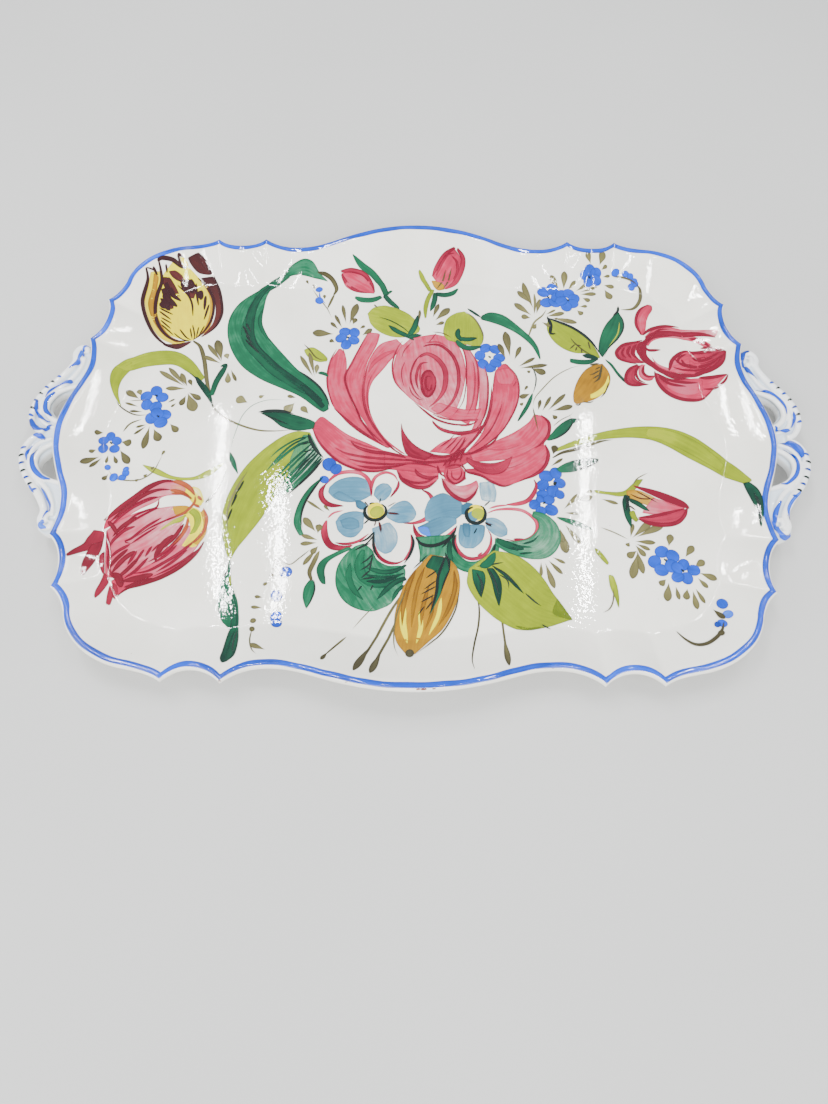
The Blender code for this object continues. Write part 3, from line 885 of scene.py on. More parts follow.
for line, width in (
    ([(-160.5, 115), (-157.5, 109), (-150, 103)], 2.0),
    ([(-162, 111), (-158, 104), (-152, 98.5)], 2.6),
    ([(-161.5, 107), (-157, 102)], 2.4),
    ([(-163, 101.5), (-157, 98)], 3.6),
    ([(-158, 112), (-154, 105)], 2.0),
    ([(-151, 116.5), (-145.5, 108)], 2.2),
    ([(-148.5, 118), (-143, 109.5)], 2.4),
    ([(-146, 119), (-142, 111)], 2.4),
    ([(-139, 112), (-137.4, 104)], 2.3),
    ([(-160, 98.5), (-156, 95.5)], 1.6),
):
    tulip.stroke(BROWN, width * 1.35, line, (0.95, 0.85), (0.7, 0.3))
tulip.finish()

# %% Stems and curled leaves on the left
vine = Motif("painted_left_vine")
OLIVE = "olive_brown"
GREEN = "copper_green"
LEAF = "leaf_green"
BLACK = "outline_black"
for left, right, loads in (
    ([(-176.5, 22), (-182, 31), (-184.5, 40), (-183, 48.5), (-177, 56)], [(-176, 23), (-178.5, 31),
     (-178, 39), (-175, 46.5), (-171, 53)], (0.4, 0.5, 0.45)),
    ([(-183, 48.5), (-177, 57), (-167, 62.5), (-156, 64.5), (-146, 63), (-137, 56.5), (-128, 44)],
     [(-176, 47), (-171, 49.5), (-165, 51.5), (-156, 53), (-148, 53), (-141, 49), (-131, 41)],
     (0.35, 0.5, 0.55)),
):
    vine.wash(LEAF, left, right, loads)
for width, points, loads, ends in (
    (2.4, [(-139, 72), (-134, 67.5), (-130.5, 58), (-128.5, 49), (-126.5, 40), (-123.5, 30)],
     (0.75, 0.55), (0.5, 0.6)),
    (1.3, [(-124, 31), (-121, 23), (-114, 16), (-104, 10.5), (-93, 7), (-83, 6.5), (-72, 7.5)],
     (0.55, 0.45), (0.7, 0.2)),
):
    vine.stroke(OLIVE, width, points, loads, ends)
vine.wash(GREEN, [(-135, 45), (-133, 40), (-129, 34), (-125, 28.5), (-121.5, 23)], [(-133, 45),
    (-129, 41), (-125, 36), (-122.5, 30), (-121, 23)], (0.85, 0.75))
vine.stroke(BLACK, 0.8, [(-139, 48.5), (-133.5, 43), (-127, 34)], (0.6, 0.7))
for touch in (
    (3.2, [(-116, 54), (-119, 47), (-121.5, 40), (-123, 31)], (0.75, 0.6), (0.5, 0.7)),
    (2.0, [(-115.5, 54.5), (-120, 52.5)], (0.8, 0.7)),
):
    vine.stroke(GREEN, *touch)
vine.sprig((-118, 54), [(-129.5, 69.5), (-131.5, 60.5)], 2.6)
for touch in (
    ((-119, 55), (-124, 73), 4.6),
    ((-115.5, 57.5), (-117.5, 62.5), 3.0, (0.3, 0.3)),
    ((-115, 50), (-114, 40), 3.2, (0.3, 0.4)),
    ((-114, 52), (-109, 41.5), 2.0),
):
    vine.dab(OLIVE, *touch)
vine.sprig((-137.5, 36), [(-157, 49), (-151.5, 51.5), (-143.5, 47.5), (-151.5, 36)], 2.8)
for touch in (
    ((-135, 37), (-138, 43), 2.4),
    ((-138, 34), (-129, 28), 3.2),
    ((-138, 34), (-132, 19.5), 5.6, (0.35, 0.5)),
    ((-138, 32), (-141, 23.5), 3.2),
):
    vine.dab(OLIVE, *touch)
vine.stroke(GREEN, 0.6, [(-108, -9), (-107, 0), (-105.5, 8), (-103, 17), (-98, 24), (-90, 28),
    (-80, 28.5), (-71, 27)], (0.12, 0.15))
vine.wash(LEAF, [(-158, -17), (-149, -19.5), (-139, -24.5), (-128, -25), (-120, -20.5), (-111, -14.5)],
    [(-157, -18.5), (-151, -23), (-140, -27), (-128, -27.5), (-118, -24.5), (-110, -16)],
    (0.3, 0.35, 0.25))
vine.wash(GREEN, [(-108.5, -8), (-107.5, -15), (-102, -23.5)], [(-107.5, -8), (-104, -14),
    (-101.5, -23)], (0.6, 0.4))
for tail, head, width, loads in (
    ((-100, 26), (-108, 29.5), 5.0, (0.3, 0.35)),
    ((-90.5, 32), (-94.5, 30), 2.2, (0.3, 0.3)),
    ((-71, 30), (-77.5, 31.5), 2.2, (0.6, 0.5)),
    ((-72, 27), (-78, 20), 5.0, (0.2, 0.25)),
    ((-63, 18), (-68.5, 24), 3.4, (0.35, 0.4)),
):
    vine.dab(OLIVE, tail, head, width, loads)
for touch in (
    (0.7, [(-172, 26.5), (-168, 27), (-160, 27.5)], (0.3, 0.3)),
    (1.0, [(-180, 26.5), (-176, 22), (-170, 18), (-165, 16.5), (-159, 17)], (0.7, 0.6), (0.2, 0.2)),
):
    vine.stroke(OLIVE, *touch)
vine.finish()

# %% Forget-me-nots on the left
BLUE = "cobalt_blue"


def forget_me_not(motif, petals, centre, radius=3.2):
    """Round cobalt petals about a dark dot."""
    for petal in petals:
        motif.blot(BLUE, petal, radius * 1.12, (0.45, 0.7))
    x, y = centre
    motif.stroke(BLACK, 1.1, [(x - 1, y + 0.9), (x + 0.8, y - 0.9)], (0.6, 0.7), (0.6, 0.5))
    motif.stroke(BLACK, 0.7, [(x + 0.9, y + 0.7), (x - 0.3, y - 0.5)], (0.5, 0.6), (0.5, 0.4))


left_blue = Motif("painted_forget_me_nots_left")
for touch in (
    ((-165, 27.5), (-175, 34), 3.6, (0.45, 0.7)),
    ((-165, 30), (-167.5, 35), 3.0, (0.4, 0.4)),
    ((-164, 22), (-174.5, 25.5), 1.6),
    ((-161, 19), (-171, 19.5), 1.6),
):
    left_blue.dab(OLIVE, *touch)
left_blue.stroke(OLIVE, 1.2, [(-172.5, 4.5), (-169, 10.5), (-162, 14)], (0.5, 0.4))
for tail, head, width in (
    ((-158, 10.5), (-165.5, 8), 1.6),
    ((-158, 10), (-166, 3), 1.7),
    ((-157, 11), (-159, -7), 3.6),
    ((-155, 8), (-150, -1.5), 4.4),
    ((-146, 11.5), (-140, 5), 3.6),
    ((-150, 25), (-144.5, 28.5), 1.3),
    ((-143, 26), (-146.5, 22.5), 1.5),
    ((-183, 4), (-188.5, 3), 3.0),
    ((-173, -2), (-166, -3), 4.2),
    ((-173, -6.5), (-165.5, -17), 4.0),
    ((-182, -12), (-192, -19.5), 3.4),
    ((-181, -12), (-187, -21.5), 2.0),
    ((-178.5, -10), (-179, -17), 1.8),
    ((-176, -10), (-172.5, -17), 2.2),
    ((-185, -8), (-189, -11), 2.4),
    ((-176, -23), (-179, -28.5), 2.4),
):
    left_blue.dab(OLIVE, tail, head, width)
forget_me_not(left_blue, [(-156.5, 34), (-162, 30), (-152.5, 29.5), (-161, 24)], (-156, 30.5), 3.2)
forget_me_not(left_blue, [(-155.5, 22.5), (-149.5, 17), (-157, 14.5), (-151, 11.5), (-154, 18)],
    (-153, 15.8), 3.4)
forget_me_not(left_blue, [(-179, 1.5), (-182.5, -1.5), (-175, -1.5), (-182, -7), (-175.5, -7)],
    (-178, -3), 2.6)
left_blue.stroke(OLIVE, 0.9, [(-177, -21), (-172, -26.5), (-164, -28), (-157, -27), (-151, -22),
    (-148, -14), (-146, -8)], (0.5, 0.35))
for tail, head in (
    ((-158, -26.5), (-160.5, -28.5)),
    ((-153.5, -23), (-156, -25.5)),
    ((-150, -18), (-152.5, -20.5)),
    ((-148, -12), (-146, -7.5)),
):
    left_blue.dab(OLIVE, tail, head, 1.7, (0.5, 0.5))
for spot, radius in (
    ((-177.5, -19.5), 1.9),
    ((-173, -26), 2.6),
    ((-168, -26), 2.2),
    ((-166.5, -23), 2.3),
    ((-166.7, -20.5), 1.8),
):
    left_blue.blot(BLUE, spot, radius, (0.35, 0.5))
left_blue.finish()

# %% The great green leaf
blade = Motif("painted_great_leaf")
for left, right, loads in (
    ([(-94.5, 117), (-104, 110.5), (-113, 102), (-118, 91), (-118.5, 79), (-115, 66), (-107, 53),
     (-95, 43.5), (-82, 37), (-70, 31), (-60, 23), (-55, 19.5)], [(-93, 114), (-95.5, 107), (-96.5, 98),
     (-97, 88), (-95, 80), (-89, 71.5), (-81, 61.5), (-73, 52), (-65, 44.5), (-58, 38), (-53, 30),
     (-51.5, 22)], (0.4, 0.42, 0.55)),
    ([(-96, 116), (-90, 121), (-84, 126), (-78, 130.5), (-72, 132.5), (-66.5, 130.5), (-62, 124),
     (-57, 119.5)], [(-93.5, 113), (-88, 117.5), (-83, 121), (-77, 122.5), (-71, 121.7), (-66, 120.5),
     (-62, 119.8), (-57, 118.8)], (0.6, 0.36, 0.3)),
):
    blade.wash(GREEN, left, right, loads)
for width, points, loads, ends in (
    (4.6, [(-103, 105), (-99, 111), (-94, 115.5), (-88, 119.5), (-82, 122.5)], (0.5, 0.6, 0.5),
     (0.5, 0.5)),
    (5.0, [(-94, 116), (-99.5, 109), (-103.5, 99), (-105, 88), (-104, 77), (-100.5, 68), (-94, 60),
     (-85, 51), (-75, 43), (-65, 35), (-57, 27)], (0.7, 0.82, 0.8), (0.3, 0.7)),
    (4.0, [(-108, 92), (-108, 80), (-104, 69), (-97, 60), (-88, 50), (-77, 41), (-66, 33)],
     (0.55, 0.66), (0.1, 0.3)),
    (3.0, [(-70, 40), (-62, 32), (-55, 23.5)], (0.85, 0.9), (0.2, 0.8)),
    (2.4, [(-97.5, 98), (-98.5, 88), (-96, 80), (-90, 71)], (0.6, 0.55), (0.1, 0.1)),
):
    blade.stroke(GREEN, width, points, loads, ends)
for x, y, dx, dy in (
    (-109, 84, 4, -6),
    (-107, 86, 4, -7),
    (-107.5, 80.5, 4.5, -6.5),
    (-106.5, 77, 5.5, -8),
    (-106.5, 73.5, 8, -9),
    (-104, 71, 8, -9),
):
    blade.stroke(BLACK, 1.2, [(x, y), (x + dx / 2, y + dy / 2 - 0.3), (x + dx, y + dy)], (0.8, 0.5),
        (0.5, 0.1))
blade.stroke(BLACK, 1.4, [(-73, 51), (-65, 44.8), (-58.5, 38.5), (-53.5, 30.5), (-51.3, 24)],
    (0.55, 0.8), (0.1, 0.4))
for touch in (
    (2.6, [(-64, 124.5), (-58, 123), (-53.5, 119.5), (-51.3, 114), (-53, 109)], (0.85, 0.75),
     (0.3, 0.4)),
    (1.5, [(-52.5, 110), (-54.5, 104), (-56.5, 98)], (0.6, 0.6), (0.4, 0.3)),
    (0.8, [(-67, 114), (-62, 106), (-56.5, 98), (-53, 90)], (0.5, 0.5)),
):
    blade.stroke(OLIVE, *touch)
for tail, head, width, loads in (
    ((-69, 116.5), (-71, 119.5), 1.6, (0.7, 0.7)),
    ((-65, 113.5), (-67, 117), 1.7, (0.7, 0.7)),
    ((-58.5, 105), (-59, 109.5), 1.9, (0.6, 0.6)),
):
    blade.dab(OLIVE, tail, head, width, loads)
for centre, radius, loads in (
    ((-62.5, 113.5), 2.2, (0.55, 0.5)),
    ((-62, 104.5), 2.7, (0.5, 0.45)),
):
    blade.blot(BLUE, centre, radius, loads)
blade.stroke(BLUE, 1.0, [(-62.3, 112), (-61.5, 107), (-57.5, 101.5)], (0.4, 0.3))
blade.wash(LEAF, [(-69.5, 66), (-64, 68), (-58, 64), (-54, 59.5)], [(-69, 64), (-66, 59.5), (-60, 56.5),
    (-54.5, 57)], (0.35, 0.5))
blade.stroke(OLIVE, 1.0, [(-70, 70.5), (-66, 66), (-62, 60.5), (-58, 58.3), (-54.5, 58.5)],
    (0.85, 0.55))
blade.sprig((-61, 43), [(-71.5, 61.5), (-66, 64)], 2.4)
blade.dab(OLIVE, (-61, 46), (-60.5, 55), 2.6, (0.3, 0.4))
blade.stroke(GREEN, 2.2, [(-60, 48.5), (-56, 48), (-53, 45.5)], (0.6, 0.55))
blade.wash(GREEN, [(-93, 19.2), (-84, 20.2), (-74, 18.8), (-64, 15.5), (-59, 13)], [(-92, 18.5),
    (-85, 14), (-79, 9), (-70, 6.5), (-60, 8)], (0.75, 0.62))
for touch in (
    (2.0, [(-94, 19.5), (-88, 20.5), (-80, 20.5), (-72, 18.6)], (0.8, 0.7), (0.2, 0.1)),
    (0.9, [(-92, 18.5), (-84, 15), (-73, 10)], (0.8, 0.7)),
):
    blade.stroke(BLACK, *touch)
blade.finish()

# %% [markdown]
# ## Buds and leaves above the rose
#
# Buds, light leaves and one long arching leaf close the bouquet at the far side. The leaves are laid
# in one pressure of the brush: thin where it lands, full where it is pressed, thin again where it
# lifts.

# %% Buds and leaves above
crown = Motif("painted_buds_and_leaves")
crown.wash(PINK, [(-48.5, 124.5), (-41, 126), (-34, 124), (-29.5, 120), (-27.5, 115), (-26.5, 111)],
    [(-48.5, 121.5), (-45.5, 116), (-41, 112.5), (-36, 111), (-31, 110.8), (-27.5, 110.5)],
    (0.4, 0.35, 0.5))
for width, points, loads, ends in (
    (2.6, [(-49, 125.3), (-42, 126.3), (-34, 124.5), (-29, 119), (-26.5, 111.5)], (0.7, 0.8),
     (0.5, 0.2)),
    (2.0, [(-48.6, 124), (-44, 117.5), (-38, 112.8), (-31, 111)], (0.75, 0.7), (0.6, 0.2)),
):
    crown.stroke(PINK, width, points, loads, ends)
for width, points, loads, ends in (
    (3.6, [(-41.5, 135.5), (-35.5, 129.5), (-28.5, 125), (-23, 119), (-20.5, 113.5), (-19, 109)],
     (0.4, 0.6), (0.2, 0.9)),
    (3.6, [(-39.5, 107.8), (-34.6, 105.6), (-28, 105.6), (-22, 108.3)], (0.4, 0.55), (0.4, 0.6)),
    (1.8, [(-18.7, 110.5), (-15.5, 113.4)], (0.6, 0.6), (0.6, 0.6)),
    (3.0, [(-20.5, 109.5), (-16, 103.5), (-10.5, 98.5)], (0.7, 0.6), (0.9, 0.4)),
):
    crown.stroke(GREEN, width, points, loads, ends)
crown.stroke(OLIVE, 0.9, [(-11, 99), (-8, 94), (-6, 89)], (0.5, 0.4))
crown.wash(LEAF, [(-31, 94.5), (-27, 99.5), (-20, 101.3), (-12, 99), (-5, 95), (-0.5, 90), (3, 83)],
    [(-30.5, 93), (-28.5, 86), (-23, 80), (-16, 76.5), (-9, 75.8), (-3, 77), (2, 80)], (0.3, 0.45, 0.4))
for touch in (
    (2.8, [(-17.5, 85.5), (-12, 81), (-6, 77.5), (-1, 74)], (0.75, 0.6), (0.2, 0.4)),
    (3.2, [(-5, 76.5), (-1, 84), (1.5, 94)], (0.5, 0.85), (0.4, 0.3)),
    (2.6, [(-5.5, 76), (0, 77.5), (4, 78)], (0.7, 0.7)),
    (0.9, [(-24, 92), (-16, 89), (-8, 83.5), (-2, 77)], (0.7, 0.8)),
):
    crown.stroke(GREEN, *touch)
crown.stroke(OLIVE, 1.1, [(-27, 102), (-24.5, 99)], (0.8, 0.6))
crown.wash(PINK, [(10, 124.5), (14, 131), (18, 136.5), (24, 140.3)], [(18.5, 114), (24, 119),
    (28.5, 127), (30, 133)], (0.36, 0.45, 0.6))
for touch in (
    (2.4, [(10, 124), (14, 131), (18.5, 136.5), (25, 140)], (0.6, 0.85), (0.2, 0.6)),
    (3.0, [(18.5, 114.5), (24.5, 119.5), (29, 127), (30, 134), (26, 139.5)], (0.5, 0.85), (0.2, 0.5)),
    (1.5, [(12.5, 124), (16, 131), (20, 136), (25, 137)], (0.6, 0.8)),
    (1.5, [(23.5, 122), (26.3, 126), (26, 132), (22, 136)], (0.6, 0.8)),
):
    crown.stroke(PINK, *touch)
crown.wash(OCHRE, [(9.5, 122), (13.5, 121.5), (18, 118.5)], [(11, 117), (14, 113.5), (18.5, 114.5)],
    (0.3, 0.35))
for width, points in (
    (1.1, [(19, 128), (17, 121.5), (12.5, 114)]),
    (1.1, [(22.7, 129), (20.5, 121), (17, 114.5)]),
):
    crown.stroke(OLIVE, width, points, (0.7, 0.6))
for width, points, loads, ends in (
    (2.6, [(1.6, 128), (3.8, 123.5), (6.5, 118.5), (9, 113)], (0.4, 0.6), (0.4, 0.8)),
    (2.6, [(10.8, 114.5), (7.5, 106.5), (6, 99), (6, 91)], (0.65, 0.5), (0.8, 0.4)),
):
    crown.stroke(LEAF, width, points, loads, ends)
for width, points, loads, ends in (
    (3.0, [(12.5, 112), (11.5, 104.5), (9, 96.5)], (0.7, 0.6), (0.8, 0.2)),
    (3.2, [(12.5, 110.8), (18.3, 110), (23.4, 111.6), (27, 115.5)], (0.75, 0.5), (0.8, 0.3)),
):
    crown.stroke(GREEN, width, points, loads, ends)
for tail, head, width in (
    ((10, 90), (14.5, 103), 2.6),
    ((11, 88.5), (21.5, 99.5), 4.0),
    ((11.5, 85.5), (18, 88.3), 2.4),
    ((2, 87), (2.4, 98), 1.8),
    ((-43.6, 84), (-47, 101.5), 2.2),
    ((-42.5, 84), (-37.5, 102.5), 4.0),
    ((-45.5, 81), (-51.5, 93.5), 2.0),
    ((-40, 85), (-38, 91), 3.0),
    ((-48, 81), (-54, 87.5), 2.2),
    ((-36, 82), (-32, 85), 2.0),
    ((-34.5, 76.5), (-27.5, 82.5), 3.0),
    ((-50, 71.5), (-54, 73.5), 2.6),
    ((-50, 78), (-65, 79), 4.6),
):
    crown.dab(OLIVE, tail, head, width)
crown.wash(LEAF, [(31, 97), (25, 95.5), (19.5, 91), (17.5, 85), (17, 79), (19.5, 74)], [(31, 96.5),
    (36.5, 91.5), (40, 85), (42, 78), (42, 73), (39.5, 68.5)], (0.35, 0.5, 0.4))
crown.stroke(OLIVE, 1.0, [(31, 97), (36.5, 91.8), (40.2, 85), (42.2, 77.5), (41, 70)], (0.5, 0.7))
for width, points, loads, ends in (
    (2.8, [(27, 83.5), (26.2, 78), (29, 73.5)], (0.8, 0.6), (0.2, 0.6)),
    (2.8, [(26.5, 75.5), (32.5, 74.8), (38.5, 76)], (0.6, 0.8), (0.5, 0.2)),
    (3.2, [(25, 74), (29, 69.5), (34.3, 68), (41, 69.5)], (0.5, 0.75), (0.5, 0.3)),
):
    crown.stroke(GREEN, width, points, loads, ends)
crown.stroke(BROWN, 0.8, [(10, 80.5), (16.5, 79.5), (22.5, 76)], (0.4, 0.5))
crown.stroke(GREEN, 1.7, [(32.5, 99.3), (37.2, 95.4), (42, 91.5)], (0.8, 0.7))
crown.wash(GREEN, [(41.5, 93.8), (46, 96.3), (51, 96), (56.5, 93.6), (62, 88.5), (68, 82), (73, 76),
    (76.5, 68.5), (77.5, 60)], [(40.5, 90.3), (46, 88.5), (51.5, 86.4), (57, 83.6), (62.5, 80),
    (67.5, 75.5), (72, 70), (74.8, 64), (76.5, 59.5)], (0.55, 0.42, 0.5))
crown.finish()

# %% Flowers at the rose's shoulders
shoulders = Motif("painted_shoulder_flowers")
forget_me_not(shoulders, [(-44.5, 80), (-38.5, 79.5), (-46.8, 75), (-38.8, 73.5), (-43.4, 70)],
    (-42.6, 75.7), 3.1)
forget_me_not(shoulders, [(43.4, 68.3), (49.3, 67.4), (39.8, 62.7), (51.6, 60.8), (41.6, 56.3),
    (46, 53.4), (49.3, 57)], (45.8, 61.5), 3.1)
for centre, radius, loads in (
    ((-49.5, -16), 4.2, (0.7, 0.75)),
    ((-45.5, -19), 3.4, (0.7, 0.75)),
    ((-52, -26), 2.6, (0.6, 0.6)),
):
    shoulders.blot(BLUE, centre, radius, loads)
for tail, head, width in (
    ((58.7, 59.5), (56, 81.5), 4.2),
    ((56, 59), (51.5, 72), 3.2),
    ((60.3, 58), (65.3, 70), 2.6),
    ((61.4, 53.3), (74, 61.5), 2.2),
    ((61.4, 53), (81.5, 56), 2.6),
    ((69.8, 53.8), (80, 49.5), 4.0),
    ((71, 52), (68.5, 50), 2.0),
    ((70.5, 35), (62.8, 31.5), 3.0),
    ((65.5, 36), (68.3, 40.5), 1.7),
    ((65.5, 28.5), (63, 26), 2.0),
    ((73.3, 21), (75.5, 30.5), 2.0),
    ((75, 20), (82, 33), 2.0),
    ((77.5, 20.5), (91, 34.8), 2.4),
    ((80.5, 21.8), (94.8, 26), 3.2),
    ((81.5, 20), (84.5, 16.5), 2.8),
    ((74, 0), (70.5, 25), 1.0),
):
    shoulders.dab(OLIVE, tail, head, width)
shoulders.stroke(BLACK, 0.9, [(71, 56), (73.5, 48), (73, 41), (70.5, 33)], (0.3, 0.6))
shoulders.stroke(GREEN, 2.2, [(71, 35), (67.5, 26), (61, 14.5)], (0.5, 0.65), (0.3, 0.4))
shoulders.stroke(OLIVE, 0.8, [(70.5, 24), (72, 31), (77, 38), (85, 47), (95, 53.5), (105, 56.5)],
    (0.3, 0.4))
shoulders.finish()

# %% [markdown]
# ## The right side
#
# A second rose is seen from the side. It is drawn almost entirely by its dark strokes: the washes stay
# thin so that the white glaze does the modelling.

# %% Side rose
side_rose = Motif("painted_side_rose")
side_rose.wash(PINK, [(140.5, 79.5), (138.8, 88), (139.6, 93.5), (142.5, 99), (146, 102.5), (149, 104)],
    [(143.5, 79), (145, 85), (146, 90), (148, 95), (150.5, 99), (150.8, 102.5)], (0.5, 0.35, 0.6))
side_rose.stroke(PINK, 1.8, [(141.5, 79), (139, 87), (139.8, 94), (143, 100), (148.5, 104)],
    (0.85, 0.75), (0.4, 0.3))
for left, right, loads in (
    ([(143, 78), (148, 83), (155, 86), (164, 85), (175, 81), (187, 77)], [(145, 75), (150, 79),
     (157, 80.5), (166, 79.5), (176, 76), (185, 73)], (0.45, 0.3, 0.12)),
    ([(143, 73), (147, 78.5), (155, 80.5), (165, 79.5), (175, 75.5), (183, 68)], [(144.5, 70),
     (148, 74.5), (155, 77), (164, 76.5), (172, 73), (179, 67)], (0.45, 0.3, 0.35)),
    ([(142, 75), (136, 73), (130, 71.8), (126, 68.5), (124.4, 64.5), (127, 60.5), (133, 58),
     (139, 57.5)], [(143, 73), (140.5, 71), (138, 69), (136.5, 66.5), (136.5, 64), (138, 61.5),
     (140, 59.5), (142, 58)], (0.8, 0.6, 0.85)),
    ([(142.5, 76), (138.5, 70), (138, 63), (141, 58), (146, 54), (152, 50), (160, 47.8), (170, 47.8),
     (180, 50.5)], [(145, 75), (144, 70), (143.5, 64), (146, 60), (150, 56), (155, 52.5), (162, 50.5),
     (171, 50.5), (179, 53)], (0.95, 0.8, 0.85)),
    ([(146, 63), (149, 58), (154, 55), (158, 54)], [(147, 58), (151, 54), (156, 51.5), (160, 50.5)],
     (0.3, 0.25)),
    ([(155, 53), (157.5, 59), (162, 64), (167, 67), (174, 66.5), (182, 65.5), (190, 63.5)],
     [(156, 51.5), (162, 50.3), (170, 49.6), (178, 51), (184, 53.5), (188, 57.5), (190, 62)],
     (0.3, 0.5, 0.85)),
    ([(169, 61), (173, 58), (180, 58), (188, 61)], [(168, 53), (174, 51), (182, 53), (189, 60)],
     (0.4, 0.7, 0.9)),
    ([(137, 57), (131.5, 53.5), (128.6, 48), (128.6, 43.5), (133, 41.2), (142, 41.4)], [(138, 55),
     (135.4, 51.5), (134.6, 47), (136.6, 44.4), (139.5, 43), (142, 42.6)], (0.85, 0.7, 0.95)),
    ([(138.5, 57), (136.6, 52), (137, 47.5), (140, 44.6), (144.5, 44.5)], [(142, 57), (140.2, 53),
     (141, 49.5), (143.5, 48), (147, 49)], (0.25, 0.3, 0.55)),
    ([(146, 52), (147, 45), (150, 38.5), (155.5, 33.8), (162, 31.2), (170, 30.6), (176, 32.8),
     (180.5, 37.5)], [(147, 51), (153, 47), (160, 46), (167, 46.5), (174, 47), (180, 46), (185, 45.5),
     (188.6, 45.5)], (0.75, 0.42, 0.45)),
    ([(152, 40), (158, 36), (166, 34), (174, 36)], [(154, 46), (161, 44), (168, 44), (175, 45)],
     (0.35, 0.15, 0.4)),
):
    side_rose.wash(PINK, left, right, loads)
for width, line in (
    (2.2, [(142, 79), (147, 83.5), (154, 86), (160, 86.4), (166, 85.5)]),
    (3.4, [(142.5, 73), (146, 78), (152, 80.5), (160, 80.7), (170, 79), (178, 76.3), (185, 72.5)]),
    (1.8, [(143.5, 72), (147, 76.5), (153, 78.6), (161, 78.6)]),
    (1.3, [(145, 75), (152, 83), (161, 84.2)]),
    (1.6, [(170, 76), (176, 73), (182, 66.5)]),
    (2.0, [(142, 75.5), (137, 73.8), (130, 72), (126, 68.5), (124.4, 65), (126, 61), (131, 58.5),
     (137, 57)]),
    (1.8, [(134, 71), (131.5, 66), (133.5, 61)]),
    (2.0, [(137.5, 72.5), (134.5, 66), (137.5, 60)]),
    (2.0, [(140.5, 74), (138, 67), (141, 60)]),
    (1.4, [(130, 70), (128, 65), (130.5, 61)]),
    (2.4, [(145, 76), (142, 70), (141.6, 63), (145, 57), (151, 51.5), (159, 48.5), (170, 48.2),
     (180, 50)]),
    (2.0, [(143, 70), (145, 67.6), (152.5, 68)]),
    (2.2, [(155.5, 52), (158, 59.5), (162, 64), (166.5, 66.8), (171, 67)]),
    (1.8, [(170, 66.2), (176, 64.8), (184, 65.5), (190, 63.4)]),
    (1.5, [(176, 67.6), (181, 67), (185.5, 65)]),
    (3.2, [(171, 50), (180, 51.3), (186, 55), (190, 63)]),
    (2.0, [(160, 61), (164, 57), (171, 55), (180, 55.5), (186, 59)]),
    (1.6, [(161, 58), (163.5, 62.5), (168, 65)]),
    (1.5, [(164, 61), (166, 57), (171, 56.5)]),
    (2.0, [(170.5, 62), (175, 60.6), (182, 61.2), (187, 63.5)]),
    (1.4, [(169.5, 63), (173, 65), (179, 64.5), (184, 63)]),
    (1.4, [(158, 55), (164, 53), (173, 52.6), (181, 54)]),
    (1.5, [(171, 61), (176, 59), (183, 59.5)]),
    (1.8, [(137, 57), (131.5, 53.5), (128.6, 48), (129, 42.8), (134, 41), (142.5, 42)]),
    (1.6, [(138.2, 56.5), (135.2, 51), (136.3, 45.5), (140.5, 42.8)]),
    (1.8, [(140.5, 56), (139.5, 51), (142, 48), (146.5, 48.5)]),
    (2.4, [(146.5, 52), (147.5, 44.5), (151, 37.6), (157, 32.8), (165, 30.6), (173, 31.4),
     (179.5, 37)]),
    (2.0, [(147.5, 50.5), (154, 45.8), (163, 43.6), (173, 43.3)]),
    (1.8, [(148.5, 48), (155, 42.5), (165, 40.6)]),
    (1.6, [(150, 51), (158, 46.8), (168, 46.3)]),
    (2.2, [(173, 47), (180, 45.5), (188.5, 45.2)]),
    (1.6, [(188.6, 45.2), (186, 40.8), (180.5, 37.4), (174, 38.6)]),
):
    side_rose.stroke(PINK, width, line, (0.95, 0.85), (0.35, 0.2))
side_rose.finish()

# %% Leaves of the side rose
right_leaves = Motif("painted_right_leaves")
right_leaves.wash(GREEN, [(128.3, 100), (124.5, 94), (120.5, 89), (117, 82.5), (114.5, 75), (113.3, 67),
    (115, 62)], [(128.6, 98), (131, 92), (131.3, 85.5), (128.5, 79), (123.5, 73), (119, 67), (116, 62)],
    (0.75, 0.5, 0.7))
for touch in (
    (1.0, [(128.8, 97), (131, 91), (130.5, 84), (126.5, 76.5), (120, 69), (116, 61)], (0.5, 0.7)),
    (1.6, [(129, 102.5), (128.2, 98), (125, 94.5)], (0.6, 0.9), (0.2, 0.4)),
):
    right_leaves.stroke(BLACK, *touch)
right_leaves.stroke(LEAF, 0.9, [(128.8, 90), (126.5, 80), (120, 70)], (0.1, 0.2))
right_leaves.wash(LEAF, [(84, 91.5), (90, 88.5), (97, 85), (103.5, 80.5), (109, 74), (112.5, 67.5),
    (114.5, 62)], [(83, 90), (82.3, 82.5), (85.5, 74.5), (91.5, 68.3), (98.5, 65), (106, 64.5),
    (113.5, 61)], (0.4, 0.5, 0.6))
for width, points, loads, ends in (
    (1.8, [(84, 92), (90, 89.3), (98, 85.2), (105, 79.5), (110.5, 72.5), (115, 63)], (0.85, 0.7),
     (0.6, 0.2)),
    (2.0, [(83, 93.5), (85, 87), (84.5, 80.3), (88, 80)], (0.9, 0.9), (0.4, 0.4)),
):
    right_leaves.stroke(BLACK, width, points, loads, ends)
for line in (
    [(96.5, 77.5), (99, 73), (105, 66.5), (112, 62)],
    [(99.5, 72), (95.5, 68)],
    [(100, 71.5), (103.5, 70.5)],
    [(103, 68.5), (103, 64.8)],
    [(107.5, 74.5), (108.6, 67.5)],
    [(100.5, 70), (99, 66.5)],
):
    right_leaves.stroke(OLIVE, 1.0, line, (0.9, 0.7))
